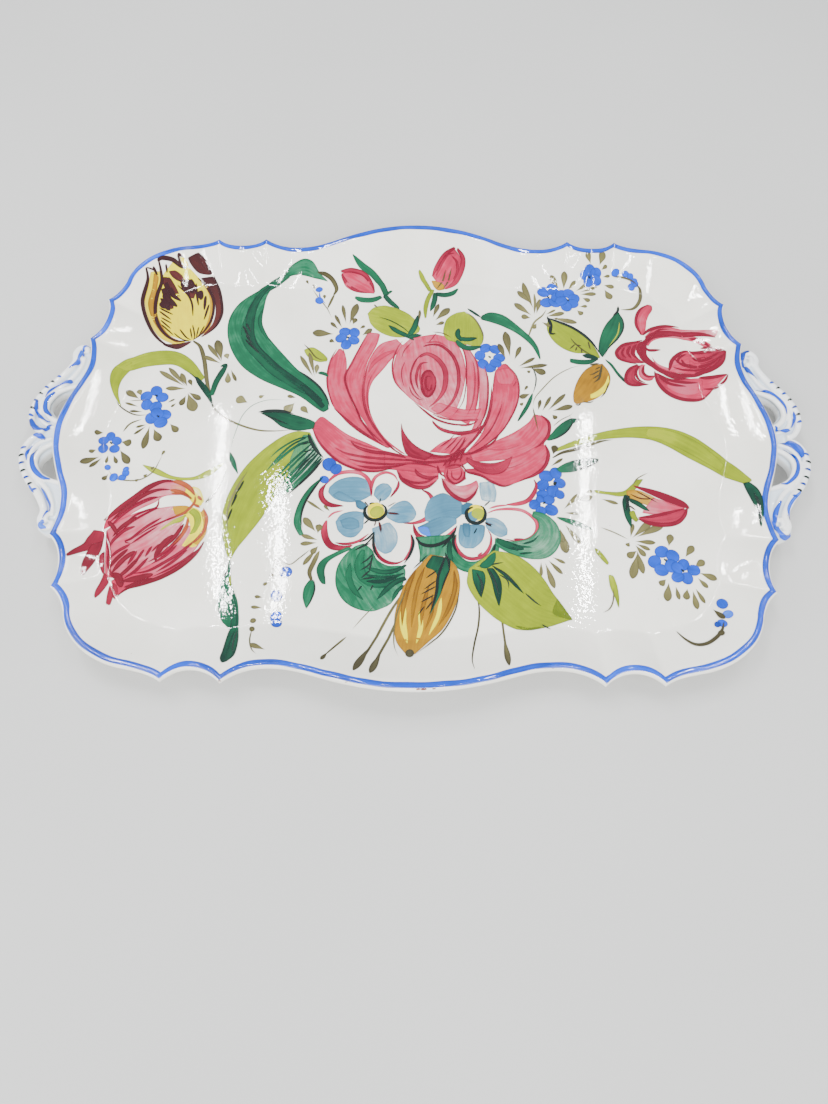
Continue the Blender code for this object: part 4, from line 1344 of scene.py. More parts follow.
for width, points, loads, ends in (
    (3.2, [(95, 59.5), (101, 58.3), (107, 58.5), (112.5, 60.5)], (0.5, 0.7), (0.8, 0.3)),
    (3.0, [(103, 63.5), (108, 62.5), (113, 60.5)], (0.9, 0.95), (0.2, 0.6)),
):
    right_leaves.stroke(GREEN, width, points, loads, ends)
right_leaves.wash(GREEN, [(117, 61), (121, 57.5), (124.5, 51), (127.5, 46.5), (129.5, 42)],
    [(117, 59.5), (120, 55), (123, 49), (126, 44.5), (128.5, 42)], (0.6, 0.55, 0.85))
right_leaves.wash(OCHRE, [(114.8, 57.3), (109, 56), (104, 52.5), (100, 47), (97, 40.5), (95.3, 34),
    (95.2, 28.5)], [(115.2, 57.3), (118.3, 52), (119.3, 46.5), (117.6, 40), (113.5, 34.5), (107, 30),
    (97, 27)], (0.6, 0.62, 0.5))
right_leaves.wash(YELLOW, [(118, 49), (115, 42), (110, 37), (105, 34)], [(118.5, 44), (116, 38),
    (111.5, 33), (106, 31)], (0.35, 0.45))
for line, width in (
    ([(115, 57), (113.5, 51), (112, 46), (108, 42.5)], 1.4),
    ([(113.5, 52.5), (109, 49.5), (106, 48.5)], 1.0),
    ([(112.5, 49), (108, 45.5)], 1.0),
    ([(113.8, 55), (110, 52.5)], 0.9),
    ([(107, 56), (113.5, 57.5)], 1.4),
    ([(118, 44), (115, 36), (111, 31)], 0.9),
    ([(100.5, 29), (105, 28.5), (108, 30)], 0.9),
    ([(96, 27), (98.5, 26.6), (100, 29)], 1.0),
):
    right_leaves.stroke(OLIVE, width, line, (0.95, 0.8))
right_leaves.wash(GREEN, [(77, 2.5), (80.5, 6.5), (84, 11), (88.5, 15), (93, 17.3), (98, 17)],
    [(77.5, 1), (83, 2.5), (88, 6), (92, 10.5), (94.5, 13.5), (98, 15.5)], (0.4, 0.6, 0.75))
right_leaves.stroke(BLACK, 1.0, [(78, 1), (84, 3.5), (90, 8), (93.5, 14), (92, 20)], (0.5, 0.8))
right_leaves.stroke(OLIVE, 0.7, [(81.5, 11), (87, 16), (93, 19.5), (94.5, 22)], (0.6, 0.6))
for left, right, loads in (
    ([(83, -3.5), (92, 1), (101, 4.7), (111, 8), (121, 10.2), (131, 11.7), (141, 12), (150, 11),
     (158, 8.5), (166, 4), (173, -2), (180, -9), (186, -17), (192, -28)], [(82, -6.5), (91, -3.6),
     (100, -0.5), (109, 2), (118, 3.2), (127, 3.6), (136, 2.8), (143, 0.5), (150, -3.5), (157, -8.5),
     (164, -13), (171, -17.5), (178, -22.5), (188, -30)], (0.4, 0.5, 0.48)),
    ([(138, 10.5), (149, 9.5), (158, 6.5), (167, 0.5), (174, -6.5), (180, -14)], [(136, 5), (144, 2.5),
     (152, -2), (160, -7), (168, -12.5), (177, -19)], (0.15, 0.55, 0.4)),
):
    right_leaves.wash(LEAF, left, right, loads)
right_leaves.stroke(OLIVE, 1.9, [(80, -10.5), (86, -6.8), (94, -4.5), (102, -1.5), (110, 1.3),
    (118, 2.6)], (1.0, 0.5), (0.4, 0.05))
for touch in (
    ((80.5, -9), (82.5, -1.5), 3.6, (0.9, 1.0)),
    ((77.5, -17), (86.5, -10.5), 1.8),
):
    right_leaves.dab(OLIVE, *touch)
right_leaves.wash(GREEN, [(186.5, -28.5), (187.2, -34), (188.6, -41), (190.2, -48), (190.6, -57)],
    [(190, -28), (193.4, -34), (194.4, -41), (193.8, -49), (191.6, -58)], (0.75, 0.8, 0.55))
right_leaves.stroke(BLACK, 1.3, [(190.8, -36), (191.9, -44), (191.5, -51), (190.9, -58)], (0.6, 0.8))
right_leaves.wash(GREEN, [(81.5, -17.5), (88, -13.3), (95, -11), (101, -10), (107.5, -10.5)],
    [(84, -20.5), (91, -20), (98, -17.8), (103, -15.3), (107, -12)], (0.35, 0.75, 0.8))
right_leaves.stroke(BLACK, 1.0, [(93, -18.5), (101, -15.5), (108, -12)], (0.6, 0.8))
right_leaves.wash(GREEN, [(80, -48.5), (87, -49.5), (94, -52.2), (100.5, -56)], [(80, -49.7), (86, -53),
    (93, -55.8), (100, -57)], (0.4, 0.5))
right_leaves.finish()

# %% Forget-me-nots on the upper right
right_blue = Motif("painted_forget_me_nots_upper_right")
for tail, head, width in (
    ((92.5, 115), (86.5, 124.5), 3.4),
    ((95, 114.5), (96, 128), 3.8),
    ((97, 114.5), (103, 121.5), 2.4),
    ((101, 113), (111.5, 120), 2.0),
    ((103, 112.5), (117, 117.5), 1.8),
    ((104, 111.5), (116, 112), 2.8),
    ((106, 109), (111.5, 106), 3.0),
    ((103.5, 101.5), (109.5, 102), 2.2),
    ((102, 99), (106, 95), 3.2),
    ((112.8, 130), (110, 138.5), 3.0),
    ((118, 129.5), (121, 139.5), 4.0),
    ((119, 127.5), (123.5, 131.5), 2.2),
    ((119.5, 123.5), (125.5, 125.2), 1.8),
    ((120, 119), (128, 117.5), 2.8),
    ((121, 116.5), (125, 107.5), 4.0),
    ((75.5, 97), (68.5, 119.5), 3.4),
    ((75, 102), (65, 114), 3.4),
    ((74.5, 93), (62.5, 104), 3.6),
    ((73.5, 92), (66.5, 93.5), 3.4),
    ((76, 94), (79.5, 107.5), 2.8),
    ((76.5, 88.5), (73.5, 83.5), 2.8),
    ((78.5, 89.5), (85, 85.5), 2.2),
    ((81, 93), (94.5, 96.5), 2.8),
    ((83.5, 93), (102, 88.5), 3.2),
    ((81, 94), (89, 99), 1.6),
    ((90, 93), (88, 91), 1.6),
):
    right_blue.dab(OLIVE, tail, head, width, (0.3, 0.55))
for width, points, loads in (
    (1.2, [(83, 99), (80, 94), (75, 89), (72, 82), (69, 72)], (0.35, 0.3)),
    (1.5, [(75.8, 112), (76, 104), (75, 95)], (0.4, 0.4)),
):
    right_blue.stroke(OLIVE, width, points, loads)
forget_me_not(right_blue, [(82, 112.8), (87.5, 114.8), (83.5, 104.5), (88.8, 104.8), (90.3, 109)],
    (84.8, 108.8), 3.5)
forget_me_not(right_blue, [(93.2, 111.3), (98, 112), (101.2, 107.8), (99.8, 103.8), (95.8, 101.4),
    (93, 106)], (97.3, 106.6), 3.3)
forget_me_not(right_blue, [(109.5, 124.5), (112, 127.2), (115.8, 125.6), (115.8, 121.4),
    (111.2, 120.8)], (111.8, 123), 3.1)
for spot, radius in (
    ((128.8, 127), 2.6),
    ((135, 125.6), 2.2),
    ((138, 123.6), 2.2),
    ((140.3, 120.6), 2.1),
    ((138.6, 117), 2.3),
    ((141.3, 118.6), 1.9),
):
    right_blue.blot(BLUE, spot, radius, (0.4, 0.55))
for touch in (
    (1.2, [(127, 124.5), (133, 123.5), (139, 121), (143.5, 117)], (0.6, 0.7)),
    (2.0, [(142, 118.5), (144, 115), (143.8, 109), (141.5, 103.5), (137.5, 99.8), (130, 99.2)],
     (0.8, 0.5), (0.3, 0.15)),
):
    right_blue.stroke(OLIVE, *touch)
right_blue.finish()

# %% Flowers on the lower right
low_right = Motif("painted_bud_and_flowers_lower_right")
for spot, radius in (
    ((76, -22.5), 4.0),
    ((81.5, -20.5), 3.6),
    ((73.5, -28.5), 3.6),
    ((83.3, -27), 3.4),
    ((79, -32.5), 3.8),
    ((73, -34.5), 3.2),
    ((83, -34.5), 2.8),
    ((68.3, -41), 3.3),
    ((77.5, -44.5), 3.7),
    ((71.5, -45.5), 3.2),
    ((76.5, -38), 3.2),
    ((71.5, -37.5), 2.4),
):
    low_right.blot(BLUE, spot, radius, (0.6, 0.75))
for width, points, loads in (
    (1.8, [(80, -28.5), (81.3, -26)], (0.8, 0.8)),
    (1.2, [(73, -40.8), (74.5, -39)], (0.7, 0.7)),
):
    low_right.stroke(BLACK, width, points, loads, (0.6, 0.6))
for tail, head, width in (
    ((83, -45.5), (94.5, -33.5), 2.6),
    ((90, -39), (101.8, -35.5), 3.2),
    ((83, -46), (93.5, -46.8), 1.6),
    ((97, -33.5), (101.8, -31.8), 2.2),
    ((83.5, -52), (93, -66), 3.0),
    ((82, -56), (84.3, -71.5), 4.4),
    ((81.5, -55), (83, -65), 3.0),
    ((72.5, -74), (81.5, -84), 2.2),
    ((71.5, -75), (76.5, -92.5), 3.0),
    ((70, -75), (69.5, -85.5), 1.8),
    ((75, -73), (83.5, -77.5), 1.8),
    ((104.5, -36.5), (116, -40.3), 2.0),
    ((120, -63), (134, -50.5), 3.6),
    ((122, -62), (140.5, -53), 3.6),
    ((120.3, -62.5), (123, -52.5), 2.2),
    ((121, -63.5), (134.5, -64.5), 2.6),
    ((122, -65), (128, -73), 2.8),
    ((122, -64.5), (131, -69), 2.2),
    ((123, -67), (125.5, -83.5), 3.2),
    ((124, -69), (119, -86.5), 4.2),
    ((124, -69), (117.5, -73.5), 3.6),
    ((120, -64), (118, -66.8), 2.4),
    ((141, -67.5), (143.3, -59), 3.6),
    ((149, -74), (155, -66), 3.6),
    ((153, -80), (160, -75), 3.6),
    ((155, -82), (165.5, -86.3), 3.4),
    ((154, -84.5), (159.8, -91.5), 2.4),
    ((152, -90), (157, -100.5), 2.2),
    ((151, -91.5), (152.3, -104), 3.0),
    ((148.5, -91), (146.8, -98.5), 3.4),
    ((142, -89), (143.3, -98.5), 2.2),
    ((139, -87), (136.5, -99.5), 3.8),
    ((138, -86), (133.5, -90), 3.2),
):
    low_right.dab(OLIVE, tail, head, width, (0.3, 0.55))
low_right.wash(LEAF, [(102.5, -31), (111, -32.3), (119, -32), (124, -28), (128, -24)], [(103, -33.5),
    (111, -34.7), (119, -35.5), (127, -30.5), (132, -24)], (0.4, 0.5, 0.55))
low_right.stroke(OLIVE, 0.8, [(125, -28), (128.5, -23.5), (135.5, -19.5)], (0.6, 0.3))
low_right.wash(OCHRE, [(121, -31.5), (127, -31), (133, -33.5), (140, -38)], [(121, -36), (128, -39.5),
    (134, -42), (141, -44)], (0.4, 0.25, 0.1))
for left, right, loads in (
    ([(136, -36), (142, -38), (148, -40.5), (153.5, -42)], [(128, -46), (136, -47), (145, -45.5),
     (153, -43.5)], (0.2, 0.42)),
    ([(126, -48.7), (134, -47.7), (142, -46), (153.5, -42.8)], [(127, -50.5), (134, -53), (142, -53),
     (149, -51), (154, -44)], (0.65, 0.6, 0.65)),
):
    low_right.wash(PINK, left, right, loads)
for touch in (
    (2.4, [(125.5, -49.5), (132, -52.3), (140, -53.4), (147.5, -52), (152.5, -47.5), (154.5, -42.5)],
     (0.9, 0.8), (0.2, 0.5)),
    (1.8, [(126, -48.9), (134, -48), (143, -45.8), (153, -42.9)], (0.85, 0.8)),
):
    low_right.stroke(PINK, *touch)
low_right.wash(PINK, [(125, -28), (135, -30.2), (145, -33.8), (153, -38), (156.3, -42)], [(126, -29.5),
    (133, -33.5), (142, -38.3), (151, -42), (155.5, -43.5)], (0.95, 0.9, 1.0))
for line in (
    [(122.5, -33.5), (128, -36.5), (134, -37), (137.5, -36.3)],
    [(126, -31.5), (133, -36), (139, -40)],
):
    low_right.stroke(BROWN, 0.9, line, (0.6, 0.6))
low_right.wash(GREEN, [(121.5, -36), (127, -38), (131, -41.5), (133.5, -45)], [(122, -39), (126.5, -42),
    (130, -44.3), (133.5, -45)], (0.9, 0.7))
low_right.stroke(GREEN, 3.4, [(121.5, -34.5), (120, -39), (120.5, -47), (121.7, -55.5)], (0.9, 0.65),
    (0.8, 0.15))
low_right.stroke(BLACK, 1.4, [(121, -35), (121, -40.5), (119.3, -45)], (0.8, 0.8))
low_right.stroke(LEAF, 2.8, [(123, -44.5), (123.8, -48.5), (125.5, -51.5)], (0.5, 0.6), (0.8, 0.6))
low_right.stroke(BROWN, 1.0, [(121.5, -41), (125.5, -44.5)], (0.9, 0.8))
low_right.stroke(OLIVE, 0.8, [(104, -55), (112, -58.5), (120, -63)], (0.25, 0.5))
forget_me_not(low_right, [(137, -70), (142.7, -72.5), (132.3, -76), (135.6, -81), (141.2, -78.5)],
    (138.5, -75), 3.3)
forget_me_not(low_right, [(148, -77.8), (153.2, -81), (149, -85.8), (144, -85), (144.5, -79.5)],
    (147.2, -81.3), 3.0)
for centre, radius, loads in (
    ((165.3, -101.2), 2.9, (0.6, 0.6)),
    ((166.8, -107.8), 2.5, (0.25, 0.3)),
    ((163, -113), 2.4, (0.5, 0.5)),
    ((160.5, -113.5), 1.7, (0.8, 0.9)),
):
    low_right.blot(BLUE, centre, radius, loads)
low_right.dab(OLIVE, (159.5, -103), (165, -110.5), 2.8, (0.8, 0.9))
low_right.stroke(OLIVE, 1.8, [(164, -112), (162, -117), (158, -121.5), (152.5, -124.8), (147, -125),
    (142.5, -121.5), (139, -116.5)], (0.9, 0.75), (0.3, 0.3))
low_right.blot(OLIVE, (161.2, -118.8), 1.7, (0.8, 0.9))
low_right.stroke(LEAF, 2.4, [(100, -68), (103.5, -73), (106.8, -78)], (0.6, 0.4), (0.2, 0.6))
low_right.wash(LEAF, [(106, -84), (106.3, -91), (108.5, -98), (109.7, -103.5)], [(109, -84),
    (110.7, -91), (111, -98), (110.4, -103.5)], (0.3, 0.6))
low_right.stroke(OLIVE, 0.9, [(108.3, -92), (107.5, -99), (105, -104), (100.5, -106.5)], (0.4, 0.6))
low_right.finish()

# %% [markdown]
# ## The near side
#
# Two blue-grey anemones lie under the rose. Their petals are a loose grey-blue touch with white glaze
# left round it, held together by one thin pink outline. Leaves in two greens and an ochre leaf
# fill the space below, drawn first, so that the flowers lie over them.

# %% Leaves under the anemones
low_leaves = Motif("painted_low_leaves")
low_leaves.wash(GREEN, [(-33, -68), (-38, -73), (-42, -80), (-43, -88), (-41.5, -95), (-37, -101.5),
    (-30, -105.5), (-22, -106.6), (-14, -103.5)], [(-28, -66), (-23, -70), (-20, -76), (-14, -79.5),
    (-7, -79.5), (-4.5, -82), (-5, -88), (-8, -96), (-12, -102)], (0.32, 0.4, 0.26))
for touch in (
    (4.6, [(-28, -70), (-30, -78), (-28, -86), (-21, -90), (-12, -89.5), (-5, -87)], (0.4, 0.5, 0.7),
     (0.4, 0.3)),
    (2.4, [(-26, -81), (-17, -83.5), (-10, -82.5), (-4, -79)], (0.6, 0.8), (0.3, 0.5)),
    (1.6, [(-27, -85), (-19, -86.5), (-11, -86), (-5, -84)], (0.6, 0.8), (0.2, 0.5)),
    (3.0, [(-35, -78), (-35.5, -86), (-32.5, -94), (-27, -100)], (0.45, 0.55), (0.2, 0.2)),
    (2.6, [(-4, -87), (-10, -89.5), (-15, -94), (-20, -100)], (0.9, 0.6), (0.8, 0.1)),
    (2.0, [(-5, -91), (-9, -95), (-12, -101)], (0.75, 0.5), (0.6, 0.1)),
    (2.0, [(-26, -89), (-17, -89), (-8, -86)], (0.9, 0.95)),
):
    low_leaves.stroke(GREEN, *touch)
for line in (
    [(-22.5, -72.5), (-25.5, -76), (-29.5, -79)],
    [(-22.5, -75), (-25, -79.5), (-30, -83)],
    [(-22.8, -72.5), (-23.5, -78), (-24.5, -84.5)],
    [(-24, -82.5), (-29, -87.5)],
    [(-21, -86.5), (-29, -88)],
    [(-22, -91), (-23.5, -94.5)],
    [(-28, -91.5), (-30.5, -95)],
    [(-24, -66), (-30, -69), (-33, -71)],
    [(-22, -60), (-26, -66), (-34, -71)],
):
    low_leaves.stroke(BLACK, 1.0, line, (0.7, 0.6))
for left, right, loads in (
    ([(-37, -68.5), (-44, -72), (-51, -76.5), (-53.5, -82), (-52, -88), (-49.5, -91.5)], [(-33, -69.5),
     (-40, -73), (-46.5, -77.5), (-48.5, -82.5), (-48, -87), (-47.5, -91)], (0.35, 0.5, 0.6)),
    ([(-57, -88.5), (-59.6, -93), (-60, -99), (-58, -105)], [(-54.3, -88), (-53.5, -93.5),
     (-54.5, -99.5), (-57.3, -105.5)], (0.5, 0.38)),
):
    low_leaves.wash(GREEN, left, right, loads)
low_leaves.stroke(BLACK, 0.9, [(-54.3, -88), (-53.5, -94), (-55, -100), (-57.5, -106)], (0.6, 0.8))
low_leaves.stroke(OLIVE, 2.4, [(-52.3, -71), (-55, -78), (-57, -84), (-55.5, -89)], (0.4, 0.8),
    (0.3, 0.6))
low_leaves.wash(GREEN, [(-53, -24), (-59.5, -30), (-64.5, -38), (-67.5, -47), (-67.8, -55),
    (-64, -62.5)], [(-52.3, -24), (-56.5, -31.5), (-60.8, -40), (-63.3, -49), (-63, -56.5), (-61, -62)],
    (0.55, 0.5, 0.35))
low_leaves.stroke(BLACK, 1.3, [(-52.5, -24), (-57.5, -32), (-62, -41), (-63.7, -50), (-62.5, -58)],
    (0.9, 0.6))
for tail, head, width in (
    ((-54, -60.5), (-62.5, -50.5), 3.6),
    ((-54, -61), (-53, -54.5), 3.6),
    ((-48, -49), (-61.5, -39.5), 1.6),
    ((-46.8, -47.5), (-51.5, -42.5), 1.6),
    ((-52, -65), (-63, -61.5), 2.4),
    ((-52.5, -66), (-63.5, -67), 2.4),
    ((-52.5, -68), (-61, -80), 2.4),
    ((-52.5, -67.5), (-57, -73), 3.0),
):
    low_leaves.dab(OLIVE, tail, head, width, (0.35, 0.55))
low_leaves.stroke(OLIVE, 0.8, [(-57, -70), (-63, -75.5), (-68, -79.5), (-73, -77)], (0.6, 0.4))
low_leaves.wash(GREEN, [(1, -62), (2, -67), (3, -73.5), (2.5, -78)], [(24, -60), (22, -67), (21, -72),
    (16, -74)], (0.35, 0.3))
for touch in (
    (5.5, [(20, -66), (22, -74), (28, -79.5), (36, -79.5), (43, -74), (46, -66)], (0.4, 0.35, 0.4),
     (0.6, 0.5)),
    (2.5, [(20, -64), (19.5, -71), (21.5, -79)], (0.8, 0.5)),
):
    low_leaves.stroke(GREEN, *touch)
low_leaves.wash(OCHRE, [(9, -72.5), (3, -79), (-2.5, -86), (-6.5, -94), (-9.5, -104), (-10.5, -114),
    (-9, -124), (-4, -132)], [(19, -74.5), (23.5, -80), (25.3, -87), (24.8, -96), (21.5, -106),
    (16, -116), (9, -123), (1, -132)], (0.55, 0.5, 0.42))
for width, points, loads in (
    (3.0, [(-5, -102), (-5.5, -113), (-3, -125)], (0.25, 0.45, 0.3)),
    (2.2, [(3, -106), (4, -115), (1.5, -125)], (0.2, 0.42, 0.3)),
    (2.0, [(15, -98), (13, -109), (8, -120)], (0.2, 0.42, 0.3)),
):
    low_leaves.stroke(YELLOW, width, points, loads, (0.2, 0.2))
for line, width in (
    ([(1, -82), (-3, -92), (-5.5, -104), (-6, -115)], 2.4),
    ([(6, -80), (2, -92), (0, -104), (-1, -116)], 2.0),
    ([(22, -82), (22.5, -92), (19, -104), (13, -115)], 2.2),
    ([(8, -92), (5, -104), (4, -115)], 2.0),
    ([(10, -96), (10, -106), (6, -117)], 1.6),
):
    low_leaves.stroke(OCHRE, width, line, (0.8, 0.6))
low_leaves.wash(GREEN, [(10, -73), (7, -78), (6.5, -80.5), (11.5, -83), (13, -90), (12, -99),
    (8.5, -108)], [(20.5, -75), (20, -81), (18.5, -86), (16.5, -91), (14.5, -97), (11.5, -103),
    (9, -108.5)], (0.75, 0.6, 0.45))
for line, width in (
    ([(18, -72), (15.5, -79), (13.2, -86), (12.3, -95), (10, -104), (7.5, -109)], 1.5),
    ([(17, -71), (19, -77), (19.5, -83)], 1.1),
    ([(20, -81), (17, -88), (14.5, -96)], 1.0),
    ([(13, -82), (6, -87.5)], 0.9),
    ([(12.6, -88), (5, -94)], 0.9),
    ([(12.5, -91.5), (3, -97)], 0.9),
    ([(11.5, -96.5), (3, -101.5)], 0.9),
    ([(10.5, -100), (6, -106)], 0.9),
    ([(6, -103), (2, -109)], 0.8),
    ([(8, -72.5), (3, -78), (-1, -82)], 0.9),
):
    low_leaves.stroke(BLACK, width, line, (0.9, 0.8))
for width, points, loads in (
    (0.9, [(-3, -92), (-7.5, -103), (-10, -114), (-10, -126), (-7, -135)], (0.6, 0.4)),
    (1.0, [(25, -93), (22.5, -105), (16.5, -116.5), (9, -124.5), (0, -133)], (0.8, 0.6)),
):
    low_leaves.stroke(OLIVE, width, points, loads)
low_leaves.blot(OLIVE, (-1.8, -131.3), 2.4, (0.8, 0.9))
for left, right, loads in (
    ([(44, -70), (51, -71), (59, -74), (66, -80), (71.5, -87.5), (75.5, -95), (79.5, -101), (85, -110)],
     [(30, -81), (28.8, -90), (33, -99), (39, -106), (47, -112.5), (57, -116.8), (69, -115.5),
     (84, -110.5)], (0.42, 0.5, 0.62)),
    ([(77.5, -98), (81, -104), (85, -110)], [(77, -99), (74.5, -107), (84.5, -110.8)], (0.75, 0.95)),
):
    low_leaves.wash(LEAF, left, right, loads)
for left, right, loads in (
    ([(31.5, -81), (32, -88), (34, -94), (36.3, -98.5)], [(38.5, -82.5), (39.3, -87), (38.3, -93),
     (36.8, -98)], (0.6, 0.9)),
    ([(39.5, -81), (42, -88), (43.5, -96), (45.6, -103.5)], [(43.5, -80), (47.3, -87), (48, -94),
     (46.3, -103)], (0.7, 0.95)),
    ([(42.5, -78.5), (50, -83), (55.5, -89), (60, -95.7)], [(44, -81), (50, -86.5), (55, -92),
     (59.5, -96)], (0.7, 0.95)),
):
    low_leaves.wash(GREEN, left, right, loads)
for line, width in (
    ([(34, -83), (37, -90), (36.5, -97)], 1.1),
    ([(40, -80), (44, -88), (46, -98)], 1.2),
    ([(42, -79), (50, -84), (57, -92)], 1.0),
    ([(46, -84), (51, -88), (51.5, -93.5)], 0.9),
    ([(60, -95), (65, -100), (69, -103)], 1.0),
    ([(38, -80), (43, -78.5), (50, -77)], 1.0),
    ([(44, -73), (40, -78), (34, -80)], 1.2),
    ([(68, -113), (73, -116.3)], 0.9),
):
    low_leaves.stroke(BLACK, width, line, (0.6, 0.5))
low_leaves.stroke(LEAF, 1.6, [(54, -114), (61, -116), (69, -114.5)], (0.9, 0.8))
low_leaves.stroke(GREEN, 4.0, [(36, -80), (41, -77.5), (45, -71)], (0.6, 0.5))
low_leaves.wash(GREEN, [(67, -45), (74, -47), (80, -53), (82, -61), (79.5, -69), (73, -74.5), (63, -75),
    (52, -71.5), (44.5, -66.5)], [(66, -49), (69, -51.5), (69.5, -55.5), (67.5, -59), (64, -62),
    (59, -63.8), (54, -64.2), (49, -63.8), (45, -62)], (0.35, 0.2, 0.4))
low_leaves.stroke(GREEN, 3.5, [(46, -63.5), (53, -67), (61, -69)], (0.6, 0.75), (0.6, 0.3))
for line in (
    [(54, -66), (60, -67.5), (66, -68)],
    [(54, -68), (58, -70.5)],
    [(60, -66), (66, -64), (70, -60)],
    [(58, -72), (66, -71)],
):
    low_leaves.stroke(GREEN, 1.2, line, (0.8, 0.5))
low_leaves.finish()

# %% Anemones
anemones = Motif("painted_anemones")
HAZE = "grey_blue"
for left, right, loads in (
    ([(-49, -31), (-45, -26.8), (-39, -24.2), (-32, -24), (-27, -26.5), (-24.5, -31)], [(-49.5, -34.5),
     (-45.5, -38.5), (-40, -40.5), (-34, -40.6), (-29, -39), (-24.5, -36)], (0.45, 0.5, 0.35)),
    ([(-47, -36), (-42, -39.5), (-36, -40.5)], [(-43, -33), (-38, -36), (-33, -39)], (0.6, 0.4)),
    ([(-34, -39), (-30, -39.5), (-27, -42)], [(-33, -44), (-30, -45.5), (-27, -45)], (0.85, 0.7)),
    ([(-23.5, -36), (-22.5, -31), (-19, -28), (-15, -28.3)], [(-20, -40), (-16.5, -39), (-13.5, -35),
     (-12.7, -31.5)], (0.3, 0.4, 0.3)),
    ([(-15, -45), (-10, -40.5), (-5, -39), (-1.5, -41.5), (1, -46)], [(-16, -50), (-10, -53.5),
     (-4.5, -53.5), (-0.5, -51.5), (1.3, -48)], (0.25, 0.4, 0.28)),
    ([(-24, -57), (-22.3, -64), (-20.3, -70), (-16, -73)], [(-14, -52.5), (-9.5, -59), (-9.3, -66),
     (-12.5, -71.5)], (0.25, 0.22, 0.35)),
    ([(-44.5, -53), (-41, -48), (-34, -46), (-28, -47)], [(-43, -58.5), (-38.5, -62.5), (-33, -62.5),
     (-28.5, -57)], (0.42, 0.45, 0.3)),
    ([(-42, -52), (-36, -50), (-31, -52)], [(-40, -57), (-35, -58), (-30.5, -56.5)], (0.6, 0.5)),
):
    anemones.wash(HAZE, left, right, loads)
for line, width, loads in (
    ([(-24.6, -37), (-25, -31), (-26.8, -25.5), (-31, -21.8), (-37, -20.7), (-44, -22), (-49, -26.5),
     (-53, -32)], 2.2, (0.6, 0.25, 0.7)),
    ([(-51, -29), (-53.3, -33.5), (-52.5, -38.5), (-48, -42.3), (-40, -43)], 2.8, (0.75, 0.9)),
    ([(-24.2, -36), (-24.6, -30), (-22.5, -24), (-17, -21), (-12, -22.6), (-9.3, -27)], 1.8,
     (0.8, 0.3, 0.35)),
    ([(-9, -26), (-9.8, -31), (-14, -37.6)], 1.6, (0.7, 0.8)),
    ([(4, -32), (8.5, -35), (10.8, -40.5), (9.8, -46.5), (6, -51), (0.5, -53.3), (-6.5, -53.6)], 2.4,
     (0.75, 0.45, 0.7)),
    ([(-49.3, -52), (-50.3, -58), (-49, -64), (-45.5, -68.3), (-39, -69.2), (-34, -67.5)], 3.4,
     (0.4, 0.9, 0.6)),
    ([(-49, -51), (-45.5, -47.5), (-40, -45.8)], 1.2, (0.25, 0.2)),
    ([(-44, -66), (-38, -66.8), (-31, -65), (-25, -60)], 1.6, (0.8, 0.4)),
    ([(-22.6, -62), (-22.3, -68), (-19.5, -74), (-15, -77.5), (-9.5, -78.2), (-5, -76)], 2.0,
     (0.5, 0.9, 0.6)),
    ([(-6, -77), (-2.5, -72), (-1, -66), (-2, -60)], 1.8, (0.6, 0.5)),
    ([(-0.5, -54), (0.8, -59), (4, -63), (9, -65.3), (15, -64), (20, -60), (23.5, -55.5)], 2.6,
     (0.9, 0.7, 0.3)),
    ([(3, -60.5), (8, -63.3), (14, -63)], 1.4, (0.8, 0.6)),
    ([(23.5, -60), (23, -66), (25, -71), (29, -74.5), (34, -75), (39, -72.5), (42.3, -67), (42.8, -61),
     (41, -57)], 2.0, (0.5, 0.7, 0.5)),
    ([(35, -73.5), (38, -71)], 1.2, (0.5, 0.4)),
    ([(41, -47), (46, -44.8), (54, -44), (61, -45), (66, -48.5), (68.8, -53), (68, -58.5), (64, -62.3),
     (57, -64), (50, -62.7)], 1.8, (0.3, 0.3, 0.8)),
    ([(52, -41.3), (58, -40.8), (64, -38.8), (68, -34), (69.8, -28.5), (68.5, -24.5)], 2.4,
     (0.45, 0.6, 0.7)),
    ([(42, -44), (47, -42.3), (54, -41.5)], 1.2, (0.2, 0.3)),
    ([(55, -63), (62, -63)], 1.4, (0.8, 0.6)),
):
    anemones.stroke(PINK, width, line, loads, (0.3, 0.25))
for left, right, loads in (
    ([(5.5, -46), (8, -39), (12, -35.5), (17, -34), (22, -37), (27, -40)], [(6, -52), (12, -54),
     (18, -54), (22, -52), (26, -49), (29, -46)], (0.35, 0.62, 0.5)),
    ([(1.5, -56), (7, -53), (13, -50), (19, -49), (24, -50)], [(3, -59.5), (8, -62), (13, -61.8),
     (18, -58.5), (24, -53.5)], (0.85, 0.6, 0.4)),
):
    anemones.wash(HAZE, left, right, loads)
anemones.wash(BLUE, [(1.5, -56.5), (4.5, -55.5), (8, -56)], [(3.5, -60), (6.5, -61.5), (9.5, -61.5)],
    (0.15, 0.12))
for left, right, loads in (
    ([(26.5, -42), (30, -40), (34, -41)], [(26.5, -48), (28.5, -48), (31, -44)], (0.9, 0.95)),
    ([(25.5, -54), (24.5, -60), (25, -66), (28, -69)], [(40, -54), (39.5, -60), (37.5, -65), (33, -69)],
     (0.6, 0.45, 0.3)),
    ([(27, -53), (27, -58), (28, -62)], [(31.5, -53), (31.5, -58), (31, -62)], (0.85, 0.6)),
    ([(40, -50), (45, -49.5), (50, -52.5), (52.5, -57)], [(40, -56), (44, -60), (48, -62), (52, -60.5)],
     (0.3, 0.25, 0.3)),
    ([(37, -27), (37, -33), (38, -39)], [(45, -26), (47, -33), (46, -40)], (0.12, 0.18, 0.1)),
):
    anemones.wash(HAZE, left, right, loads)
